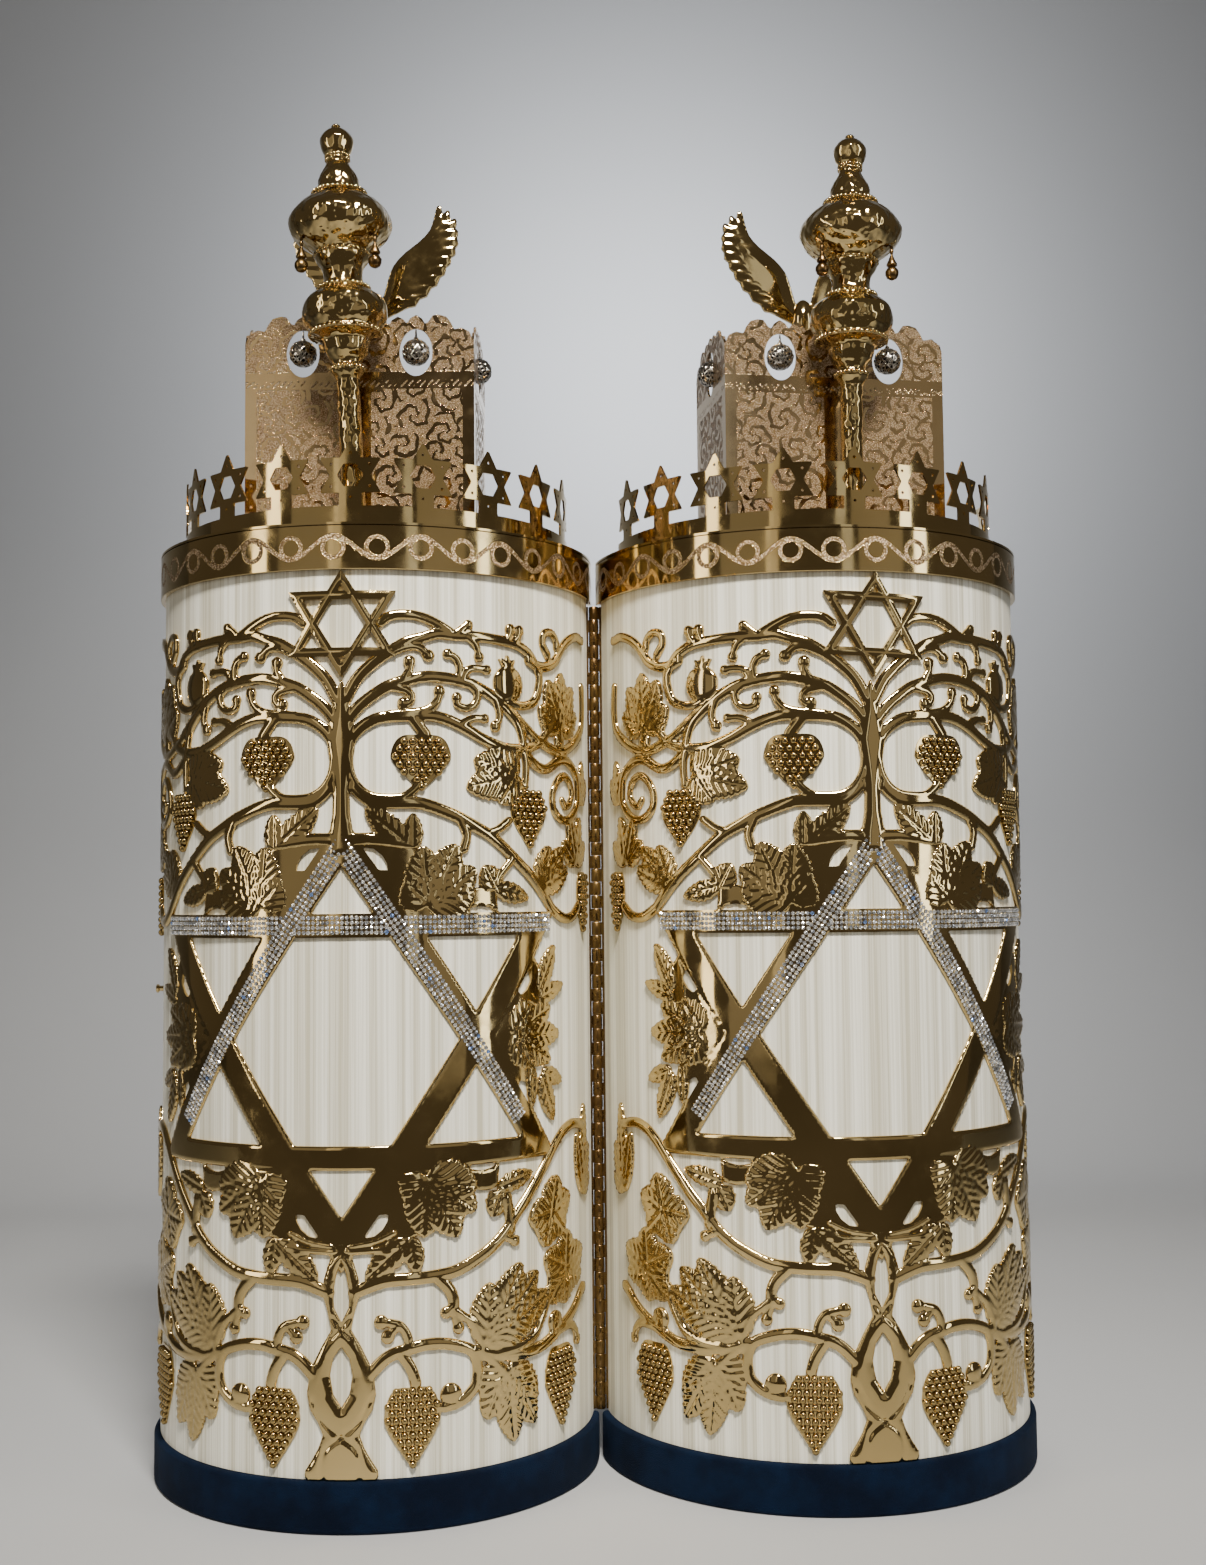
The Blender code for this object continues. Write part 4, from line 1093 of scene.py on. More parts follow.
STEMS = (
    Stem(6.6, ((2, 501), (10, 514.5), (20, 524), (30, 531), (40, 537), (50, 540), (60, 543),
         (70, 542.5), (90, 542.5), (110, 541), (120, 539), (128, 535), (133, 530), (138, 522),
         (137, 513), (133, 505), (126, 501.5), (118, 501), (110, 503)), 0.75),
    Stem(4.8, ((30, 530), (40, 534), (48, 534), (54, 529)), 0.9, 3.4),
    Stem(5.4, ((24, 549), (30, 553), (40, 554.3), (50, 553), (60, 549), (68, 544.5))),
    Stem(4.6, ((73, 544), (78, 548), (80.5, 549.5)), 1.0, 3.0),
    Stem(4.6, ((108, 541), (111, 545), (112, 549)), 1.0, 3.5),
    Stem(4.6, ((114, 540), (118, 544), (119.5, 549)), 1.0, 3.3),
    Stem(4.2, ((80, 542), (86, 537), (88, 530)), 0.8, 3.0),
    Stem(6.2, ((128, 531), (135, 528), (144, 528), (154, 532), (161, 539), (167, 545), (176, 550),
         (187, 553), (199, 552)), 0.85),
    Stem(5.0, ((147, 536), (141.5, 543), (143.5, 550), (151, 551), (156.5, 547), (157, 542)), 0.9),
    Stem(6.6, ((1, 485), (10, 496), (20, 504), (30, 510), (45, 514.5), (55, 516), (65, 515.5),
         (75, 514), (85, 511.5), (95, 507), (105, 501), (112, 496), (122, 489), (133, 481),
         (145, 476.5), (155, 474), (165, 474.5), (175, 478), (187, 484), (196, 492), (199, 505),
         (198, 520)), 0.85),
    Stem(4.6, ((37, 512), (42, 520), (42, 525)), 0.9, 3.4),
    Stem(4.6, ((30, 509), (40, 507), (43.5, 503), (41, 499), (38, 499)), 0.9, 3.2),
    Stem(4.6, ((74, 514), (74.5, 523), (72, 528), (66.5, 530.5)), 0.9, 3.0),
    Stem(4.6, ((76, 514), (80, 521), (87, 522.5), (93.5, 522)), 0.9, 2.9),
    Stem(4.6, ((83, 511), (87, 507), (85, 500), (79, 497), (73, 499), (72.5, 503.5)), 0.9, 2.9),
    Stem(4.6, ((99, 505), (102, 499), (103, 492), (100, 486.5)), 0.9, 3.4),
    Stem(5.6, ((110, 497), (119, 488), (123, 475), (125, 462), (124, 450)), 0.8),
    Stem(6.6, ((3, 473), (10, 482), (20, 488.5), (30, 490.5), (50, 491.5), (60, 491), (70, 488),
         (80, 483.5), (90, 478.5), (100, 475), (110, 473), (126, 474), (139, 479), (145, 485),
         (152, 489)), 0.85),
    Stem(4.6, ((30, 492), (48, 494), (56, 497), (60, 502), (61, 507)), 0.9, 3.2),
    Stem(4.6, ((74, 486), (83, 490.5), (92, 491)), 0.9, 2.8),
    Stem(6.0, ((44, 490), (52, 480))),
    Stem(6.0, ((124, 470), (135, 463), (145, 461.5), (157, 467), (167, 468.5), (178, 465), (185, 458),
         (187, 449), (186, 440), (176, 431), (164, 429), (154, 434), (151, 443), (155, 452), (164, 458),
         (173, 455), (177, 447), (173, 440), (167, 438), (163, 442)), 0.7),
    Stem(6.9, ((8, 447), (14, 441), (22, 437.5), (45, 437.5), (55, 435.5), (65, 432), (75, 428),
         (85, 423), (95, 418), (105, 411), (115, 403), (130, 391), (145, 376), (152, 370), (164, 365),
         (176, 366), (186, 372)), 0.85),
    Stem(4.8, ((5, 473), (4.5, 465), (6, 455), (11, 446.5), (20, 441), (36, 440.5), (43, 444), (48, 449))),
    Stem(5.2, ((75, 427), (79, 418), (77, 409))),
    Stem(4.6, ((93, 419), (101, 421), (110, 427))),
    Stem(4.6, ((114, 404), (108, 398), (102, 392))),
    Stem(7.0, ((6, 415), (20, 415), (41, 412)), 0.8),
    Stem(5.0, ((160, 490), (160, 480)), 1.0, 5.0),
    Stem(3.4, ((2, 169), (20, 172), (32, 177))),
    Stem(3.6, ((0, 166), (20, 166.8), (34, 168))),
    Stem(6.8, ((8, 142), (20, 146.5), (30, 148.5), (50, 149), (66, 150.5), (75, 153), (85, 157.5),
         (95, 163), (105, 171), (114, 181), (124, 191), (134, 202), (144, 213), (152, 221), (162, 228),
         (174, 231), (188, 229)), 0.85),
    Stem(4.6, ((96, 165), (104, 168), (113, 165)), 0.9, 3.2),
    Stem(6.5, ((58, 149), (66, 141), (69, 134), (69, 128)), 0.9),
    Stem(4.5, ((69, 131), (64, 127)), 1.0, 3.2),
    Stem(4.5, ((69, 128), (72, 117)), 1.0, 3.2),
    Stem(4.6, ((70, 128), (75, 124), (81, 119), (86, 110), (88, 102))),
    Stem(5.0, ((41, 107), (40, 115), (36, 121), (30, 123), (24, 124)), 0.9, 3.8),
    Stem(4.2, ((34, 121), (28, 115)), 1.0, 3.6),
    Stem(6.6, ((16, 92), (25, 101), (32, 105), (40, 107), (50, 109), (60, 109), (70, 107), (80, 103),
         (84, 97), (85, 89), (83, 81), (77, 75), (70, 72), (63, 71)), 0.85),
    Stem(4.5, ((72, 73), (67, 78)), 1.0, 6.0),
    Stem(6.0, ((36, 105), (42, 96), (45, 87))),
    Stem(5.2, ((86, 100), (96, 94), (104, 86))),
    Stem(6.6, ((84, 102), (100, 97), (119, 95), (134, 96), (144, 99), (154, 103), (164, 107),
         (174, 112), (183, 119), (190, 123)), 0.9),
    Stem(5.2, ((98, 98), (115, 99), (129, 104), (136, 113), (141, 122), (142, 130)), 0.8),
    Stem(4.5, ((146, 102), (150, 109)), 1.0, 6.0),
    Stem(5.2, ((154, 103), (169, 103), (176, 98), (178, 92)), 0.8, 3.2),
    Stem(6.0, ((107, 192), (110, 173))),
)
TRUNK = ((0, 514), (3, 506), (6.5, 490), (9, 476), (7, 462), (5, 445), (5.5, 430), (7.5, 418), (8, 404))
FOOT_TRUNK = (
    (6, 165), (10.5, 150), (11, 140), (8, 130), (6, 120), (12, 110), (17, 100), (20, 90), (21, 82),
    (19, 73), (14, 65), (11, 58), (14, 50), (18, 43), (22, 37), (22.5, 34), (21, 31),
)
FOOT_GAPS = (
    ((0, 161), (3, 153), (5, 142), (4.5, 133), (0, 124)),
    ((0, 110), (5, 103), (7, 93), (5, 82), (0, 74)),
)
FOOT_GROOVES = (
    ((-17, 78), (-11, 66), (0, 57), (9, 50), (12, 40), (11, 31)),
    ((-5, 127), (0, 121), (6, 115)),
    ((-7, 160), (0, 167), (5, 172)),
)
LEAVES = (
    VineLeaf((42, 411), 16, ((14.5, 434),)),
    VineLeaf((44, 409), 13, ((44, 431),)),
    VineLeaf((53, 373), 26, ((40, 391), (50, 411), (72, 412), (85, 397), (85, 383))),
    VineLeaf((100, 383), 17, ((91, 399),)),
    VineLeaf((98, 385), 13, ((126, 378),)),
    VineLeaf((118, 456), 23, ((79, 447), (84, 465), (98, 470), (103, 438))),
    VineLeaf((137, 385), 19, ((169, 397), (164, 411), (147, 412))),
    VineLeaf((160, 488), 21, ((137, 501), (146, 520), (162, 526), (178, 518), (184, 500))),
    VineLeaf((182, 400), 15, ((163, 415), (172, 431), (190, 432), (201, 415))),
    VineLeaf((194, 440), 12, ((186, 462), (196, 470), (204, 458))),
    VineLeaf((135, 319), 14, ((151, 348),)),
    VineLeaf((135, 314), 11, ((161, 323),)),
    VineLeaf((111, 292), 20, ((156, 291), (146, 309), (146, 274), (128, 313), (128, 271))),
    VineLeaf((138, 268), 11, ((159, 260),)),
    VineLeaf((137, 266), 14, ((149, 236),)),
    VineLeaf((129, 272), 9, ((128, 246),)),
    VineLeaf((52, 210), 26, ((40, 193), (50, 173), (72, 172), (84, 187), (85, 201))),
    VineLeaf((41, 173), 16, ((14.5, 149),)),
    VineLeaf((42, 174), 13, ((46, 152),)),
    VineLeaf((100, 199), 12, ((128, 206),)),
    VineLeaf((103, 197), 16, ((95, 182),)),
    VineLeaf((90, 104), 25, ((118, 151), (142, 130), (94, 142), (132, 144))),
    VineLeaf((106, 89), 23, ((111, 43), (90, 60), (87, 75), (131, 66), (129, 51))),
    VineLeaf((146, 178), 22, ((152, 201), (168, 187), (125, 176), (139, 157), (161, 164))),
    VineLeaf((162, 141), 22, ((187, 150), (164, 165), (139, 151), (143, 121), (160, 118), (184, 132))),
    VineLeaf((190, 184), 14, ((180, 224), (194, 242), (203, 216), (204, 196))),
)
BUNCHES = (
    GrapeBunch(49.5, 463.5, 41, 38, 5.4),
    GrapeBunch(128, 429.5, 34, 40, 5.4),
    GrapeBunch(43, 62.5, 37, 52, 5.0),
    GrapeBunch(156.5, 70, 36, 55, 5.0),
    GrapeBunch(196, 377, 22, 44, 5.0),
)
POMEGRANATE = (110.0, 514.0, 11.5)
POMEGRANATE_CROWN = ((-3, 9), (-8, 17), (-3, 15), (-1, 19), (1, 15), (5, 16), (3, 9))
FLAT_PLATES = (
    ((0, 421), (9, 419), (20, 419), (41, 412), (50, 408), (56, 395), (56, 369), (36, 369)),
    ((80, 384), (92, 386), (100, 384), (101, 370), (95, 372.5), (88, 373.5), (81, 372), (79, 369),
     (70, 369), (70, 384)),
)
FLAT_WINDOW = ((13, 410), (20, 409), (25, 405), (28, 400), (28.5, 396), (23, 396))
SIDE_PLATE = (
    (149, 367), (131, 341), (133, 338), (139, 330), (139, 312), (132, 300), (132, 280), (128, 272),
    (128, 250), (130, 241), (96, 292),
)
SIDE_WINDOWS = (
    ((126, 333), (122, 328), (116, 320), (119, 317), (124, 320), (128, 326)),
    ((118, 264), (116, 261), (121, 254), (125, 248), (127, 252), (127, 257), (123, 262)),
)


@dataclass(frozen=True)
class GreatStar:
    """A six-pointed star of two three-sided frames; its own values are the great star's."""

    middle: float = 292.0
    reach: float = 106.0
    level: float = 63.0
    bar: float = 14.5
    leg: float = 33.0
    slope: float = 1.44

    def frames(self) -> list[tuple[np.ndarray, np.ndarray]]:
        """Outer and inner corners of the two frames, the upward one first."""
        found = []
        for way in (1, -1):
            frame_corners = []
            for apex, foot in ((self.reach + self.leg, -self.level - self.bar), (self.reach, -self.level)):
                half_width = (apex - foot) / self.slope
                corners = ((0, apex), (half_width, foot), (-half_width, foot))
                frame_corners.append(np.array([(arc, self.middle + way * over) for arc, over in corners]))
            found.append(tuple(frame_corners))
        return found

    def draw(self, page: Field, edge: float, rise: float, run: float) -> None:
        """Adds both frames to a drawing, each rising from its edges over the run."""
        for outer, inner in self.frames():
            hole = polygon_distance(page.along, page.up, inner)
            distance = np.maximum(polygon_distance(page.along, page.up, outer), -hole)
            page.add(distance, edge + rise * np.clip(-distance / run, 0, 1))


GREAT_STAR = GreatStar()
SMALL_STAR = GreatStar(middle=548.3, reach=24.2, level=15.0, bar=5.4, leg=9.8, slope=1.60)


@dataclass(frozen=True)
class Openwork:
    """The gilded sheet: the tree with its vines, leaves and fruit, and the great star's plate."""

    pitch: float = 1.12
    star_pitch: float = 1.5
    small_pitch: float = 0.8
    reach: float = 208.0
    low: float = 30.0
    parting: float = 234.0
    high: float = 560.0
    back: float = 145.25
    stem_scale: float = 1.13
    stem_edge: float = 1.5
    stem_crown: float = 1.1
    knob_crown: float = 1.5
    trunk_edge: float = 1.5
    trunk_crown: float = 1.6
    trunk_run: float = 6.0
    leaf_edge: float = 1.4
    groove_depth: float = 1.3
    bunch_height: float = 0.8
    fruit_edge: float = 1.5
    fruit_crown: float = 2.6
    grape_share: float = 0.47
    grape_seat: float = 1.3
    grape_inset: float = 0.15
    plate_height: float = 1.6
    plate_bevel: float = 0.8
    star_edge: float = 1.2
    star_rise: float = 0.5
    star_page: tuple[tuple[float, float], tuple[float, float]] = ((0.0, 164.0), (150.0, 436.0))
    small_star_edge: float = 2.6
    small_star_rise: float = 0.8
    small_star_reach: float = 37.0
    right_star_turn: float = math.radians(2.0)
    right_star_shift: float = 3.3

    def bend(self, along: np.ndarray, up: np.ndarray, height: np.ndarray) -> np.ndarray:
        """Rolls the sheet round the wall, its height measured from the sheet's back."""
        return rolled(along, up, self.back + height, SHEET_SHIFT)

    def draw(self, page: Field) -> None:
        """Draws trunk, stems, leaves and fruit."""
        self.draw_trunk(page, polygon_distance(page.along, page.up, both_sides(TRUNK)))
        foot = polygon_distance(page.along, page.up, both_sides(FOOT_TRUNK))
        for gap in FOOT_GAPS:
            foot = np.maximum(foot, -polygon_distance(page.along, page.up, both_sides(gap)))
        self.draw_trunk(page, foot)
        for stem in STEMS:
            path = flowing(np.array(stem.points, float), 4)
            widths = self.stem_scale * stem.width * np.linspace(1, stem.taper, len(path))
            page.stroke(path, widths, self.stem_edge, self.stem_crown)
            if stem.knob:
                page.knob(stem.points[-1], self.stem_scale * stem.knob, self.stem_edge, self.knob_crown)
        for leaf in LEAVES:
            for tip in leaf.tips:
                page.blade(leaf.base, tip, leaf.width, self.leaf_edge)
        for groove in FOOT_GROOVES:
            for way in (1, -1):
                page.groove(flowing(np.array(groove, float) * (way, 1), 4), self.groove_depth)
        for bunch in BUNCHES:
            page.add(self.bunch_distance(page, bunch), self.bunch_height)
        self.draw_pomegranate(page)

    def draw_trunk(self, page: Field, distance: np.ndarray) -> None:
        """Adds a trunk: it rises from its edge as half a parabola."""
        inward = np.clip(1 + distance / self.trunk_run, 0, 1)
        page.add(distance, self.trunk_edge + self.trunk_crown * (1 - inward ** 2))

    def tree(self, low: float, high: float) -> Shape:
        """One part of the tree, between two heights, on both sides of the trunk."""
        page = Field.blank((0.0, self.reach), (low, high), self.pitch)
        self.draw(page)
        return page.mirrored().solid(self.bend, 0.0)

    def small_star(self, half: Half) -> Shape:
        """The small star with its ridged bars; the right one sits a little out and turned."""
        middle, span = SMALL_STAR.middle, self.small_star_reach
        page = Field.blank((1.0 - span, span - 1.0), (middle - span, middle + span), self.small_pitch)
        SMALL_STAR.draw(page, self.small_star_edge, self.small_star_rise, SMALL_STAR.bar / 2)
        turn, shift = (0.0, 0.0) if half.side is Side.LEFT else (self.right_star_turn, self.right_star_shift)

        def bend(along: np.ndarray, up: np.ndarray, height: np.ndarray) -> np.ndarray:
            """Turns and slides the star on the sheet, then rolls it."""
            over = up - middle
            turned_along = along * math.cos(turn) + over * math.sin(turn) + shift
            return self.bend(turned_along, middle + over * math.cos(turn) - along * math.sin(turn), height)
        return page.solid(bend, 0.0)

    def bunch_distance(self, page: Field, bunch: GrapeBunch) -> np.ndarray:
        """Distance to a bunch's edge: a rounded heart, wide above and drawn to a point below."""
        across = (page.along - bunch.arc) / (bunch.width / 2)
        over = (page.up - bunch.height) / (bunch.tall / 2)
        narrow = np.clip(0.98 - 0.62 * np.clip(-over + 0.15, 0, 1.2) ** 1.25, 0.12, 1.0)
        shoulder = 0.16 * np.cos(math.pi * np.clip(across, -1, 1)) * np.clip(over, 0, 1)
        return (np.hypot(across / narrow, over + shoulder) - 0.97) * (bunch.width + bunch.tall) / 4 * 0.9

    def draw_pomegranate(self, page: Field) -> None:
        """Adds the round fruit with its little crown."""
        arc, height, radius = POMEGRANATE
        away = np.hypot(page.along - arc, page.up - height)
        dome = np.sqrt(np.clip(1 - (away / radius) ** 2, 0, 1))
        page.add(away - radius, self.fruit_edge + self.fruit_crown * dome)
        page.polygon(np.array(POMEGRANATE_CROWN, float) + (arc, height), 2.8, 2.0)

    def grapes(self) -> Shape:
        """Grapes in rows over each bunch, every second row half a grape along."""
        shapes = []
        for bunch in BUNCHES:
            pitch = bunch.pitch
            rows = np.arange(-bunch.tall / 2 + pitch / 2, bunch.tall / 2, pitch * math.sqrt(3) / 2)
            centres = []
            for number, row in enumerate(rows):
                shift = pitch / 2 if number % 2 else 0.0
                columns = np.arange(-4, 5) * pitch + shift
                spot = Field(bunch.arc + columns, np.full(len(columns), bunch.height + row), columns, columns)
                inside = self.bunch_distance(spot, bunch) < -self.grape_inset * pitch
                centres += [(arc, bunch.height + row) for arc in bunch.arc + columns[inside]]
            flat = np.vstack((np.array(centres), np.array(centres) * (-1, 1)))
            seat = np.full(len(flat), self.back + self.grape_seat)
            places = rolled(flat[:, 0], flat[:, 1], seat, SHEET_SHIFT)
            shapes.append(bead(places, self.grape_share * pitch, 10, 7))
        return joined(shapes)

    def star_plate(self) -> Shape:
        """The great star with the plain plates that tie the leaves to it."""
        page = Field.blank(*self.star_page, self.star_pitch)
        GREAT_STAR.draw(page, self.star_edge, self.star_rise, self.plate_bevel)
        middle = np.array((0.0, GREAT_STAR.middle))
        for way in (1, -1):
            for plate in FLAT_PLATES:
                page.polygon(middle + (1, way) * (plate - middle), self.plate_height, self.plate_bevel)
            page.cut(polygon_distance(page.along, page.up, middle + (1, way) * (FLAT_WINDOW - middle)))
        page.polygon(np.array(SIDE_PLATE, float), self.plate_height, self.plate_bevel)
        for window in SIDE_WINDOWS:
            page.cut(polygon_distance(page.along, page.up, window))
        return page.mirrored().solid(self.bend, 0.0)

    def build(self, half: Half, finishes: Finishes, shared: dict[str, Shape]) -> None:
        """Makes the sheet's pieces for one half, most from shapes that both halves share."""
        for name, shape in shared.items():
            # The grapes take the darker gold, which is painted shade.
            finish = finishes.grape_shade_gold if name == "grapes" else finishes.gold
            make_piece(name, shape, half, finish, ("openwork",), 75.0)
        make_piece("small_star", self.small_star(half), half, finishes.gold, ("openwork",), 60.0)


@dataclass(frozen=True)
class Crystals:
    """Rows of small cut stones on three bars of the great star."""

    rows: int = 4
    pitch: float = 3.0
    radius: float = 1.4
    seat: float = 146.9
    apex: float = 411.0
    slope: float = 1.46
    leg_end: float = 117.0
    past: float = 6.0
    bar_level: float = 362.5
    bar_reach: float = 145.0
    leg_clearance: float = 5.4
    seam: float = 1.3
    head: float = 9.0
    tip: float = 0.12
    sides: int = 6
    rings: tuple[tuple[float, float], ...] = ((1.0, 0.0), (1.0, 0.5), (0.62, 1.15), (0.0, 1.45))

    def lines(self) -> list[tuple[np.ndarray, np.ndarray]]:
        """Start and end of each strip's middle line on the unrolled sheet; the legs start past the apex."""
        half, past = self.leg_end, self.past
        bar = (np.array((-self.bar_reach, self.bar_level)), np.array((self.bar_reach, self.bar_level)))
        legs = [(np.array((-way * past, self.apex + self.slope * past)),
                 np.array((way * half, self.apex - self.slope * half))) for way in (1, -1)]
        return [*legs, bar]

    def spots(self) -> np.ndarray:
        """The stones' places on the unrolled sheet.

        In words: lanes of equal steps run along each strip; the two legs meet on the middle line, and
        the level bar gives way where the legs cross it.

        Returns:
            Rows of arc and height.
        """
        found = []
        for number, (start, end) in enumerate(self.lines()):
            step = end - start
            length = np.linalg.norm(step)
            forward = step / length
            beside = np.array((-forward[1], forward[0]))
            places = np.arange(0.5, length, self.pitch)
            lanes = (np.arange(self.rows) - (self.rows - 1) / 2) * self.pitch
            flat = start + places[:, None, None] * forward + lanes[None, :, None] * beside
            flat = flat.reshape(-1, 2)
            if number == 2:
                from_leg = np.abs((self.apex - flat[:, 1]) / self.slope - np.abs(flat[:, 0]))
                flat = flat[from_leg > self.leg_clearance * math.hypot(1, 1 / self.slope)]
            else:
                own_side = flat[:, 0] * (1, -1)[number] > self.seam
                flat = flat[own_side & (flat[:, 1] < self.apex + self.head)]
            found.append(flat)
        return np.vstack(found)

    def build(self, half: Half, finishes: Finishes) -> None:
        """Makes the stones for one half: six-sided pointed gems, each turned and tipped by chance."""
        chance = np.random.default_rng(7 + half.side.value)
        flat = self.spots()
        turn = chance.uniform(0, 2 * math.pi / self.sides, len(flat))
        lean = chance.normal(0, self.tip, (len(flat), 2))
        corner = np.arange(self.sides) * 2 * math.pi / self.sides
        arcs, ups, outs = [], [], []
        for share, rise in self.rings:
            dx = self.radius * share * np.cos(corner[None] + turn[:, None])
            dz = self.radius * share * np.sin(corner[None] + turn[:, None])
            arcs.append(flat[:, :1] + dx)
            ups.append(flat[:, 1:] + dz)
            tilt = (lean[:, :1] * dx + lean[:, 1:] * dz) * (rise > 0)
            outs.append(self.seat + rise + tilt)
        arc, up, out = (np.stack(np.broadcast_arrays(*item), axis=1) for item in (arcs, ups, outs))
        points = rolled(arc.ravel(), up.ravel(), out.ravel(), SHEET_SHIFT)
        corners = len(self.rings) * self.sides
        one = grid_faces(len(self.rings), self.sides, around=True)
        offsets = np.arange(len(flat))[:, None, None] * corners
        bottom = np.array(((3, 2, 1, 0), (0, 5, 4, 3)))
        faces = (np.vstack((one, bottom))[None] + offsets).reshape(-1, 4)
        spark = np.repeat(chance.uniform(0, 1, len(flat)), corners)
        shape = Shape(points, faces, {"spark": spark})
        make_piece("stones", shape, half, finishes.stones, ("crystal_bands",), 15.0)


# On the deck


@dataclass(frozen=True)
class Gallery:
    """The upright ring of nine pierced stars."""

    radius: float = 130.7
    thickness: float = 1.3
    base: float = 13.5
    stars: int = 9
    pitch_degrees: float = 20.0
    reach: float = 22.3
    lift: float = 33.0
    hole: float = 7.2
    neck: tuple[float, float] = (7.0, 8.0)
    neck_drop: float = 0.85
    dot_circle: float = 14.2
    dot: float = 1.1
    meeting_gap: float = 0.6
    pitch: float = 1.15

    def build(self, half: Half, finishes: Finishes) -> None:
        """Makes the gallery for one half."""
        limit = self.radius * math.acos(self.meeting_gap / self.radius)
        page = Field.blank((-limit, limit), (DECK, DECK + self.lift + self.reach + 1.0), self.pitch)
        strip = page.up - (DECK + self.base)
        page.add(np.maximum(strip, np.abs(page.along) - limit), self.thickness)
        middle = DECK + self.lift
        for number in range(self.stars):
            arc = (number - (self.stars - 1) / 2) * math.radians(self.pitch_degrees) * self.radius
            x, z = page.along - arc, page.up - middle
            slant = np.abs(x) * math.sqrt(3) / 2
            star = np.minimum(np.maximum(slant + z / 2, -z), np.maximum(slant - z / 2, z)) - self.reach / 2
            page.add(star, self.thickness)
            drop = self.reach * self.neck_drop
            neck = np.maximum(np.abs(x) - self.neck[0], np.abs(z + drop) - self.neck[1])
            page.add(neck, self.thickness)
            page.cut(np.maximum(np.abs(z), slant + np.abs(z) / 2) - self.hole)
            for angle in math.pi / 2 + np.arange(6) * math.pi / 3:
                away = np.hypot(x - self.dot_circle * math.cos(angle), z - self.dot_circle * math.sin(angle))
                page.cut(away - self.dot)
        make_piece("gallery", page.solid(self.bend, 0.0), half, finishes.gold, ("star_ring",))

    def bend(self, along: np.ndarray, up: np.ndarray, height: np.ndarray) -> np.ndarray:
        """Rolls the gallery to its radius, starting exactly at its ends."""
        angle = np.clip(along / self.radius, -math.pi / 2, math.pi / 2)
        radius = self.radius + height
        return np.column_stack((radius * np.sin(angle), -radius * np.cos(angle), np.maximum(up, DECK)))


EYE = ((8.4, 0.0), (8.4, 1.6), (9.8, 1.6), (10.4, 0.8), (15.2, 0.5), (15.2, 0.0))


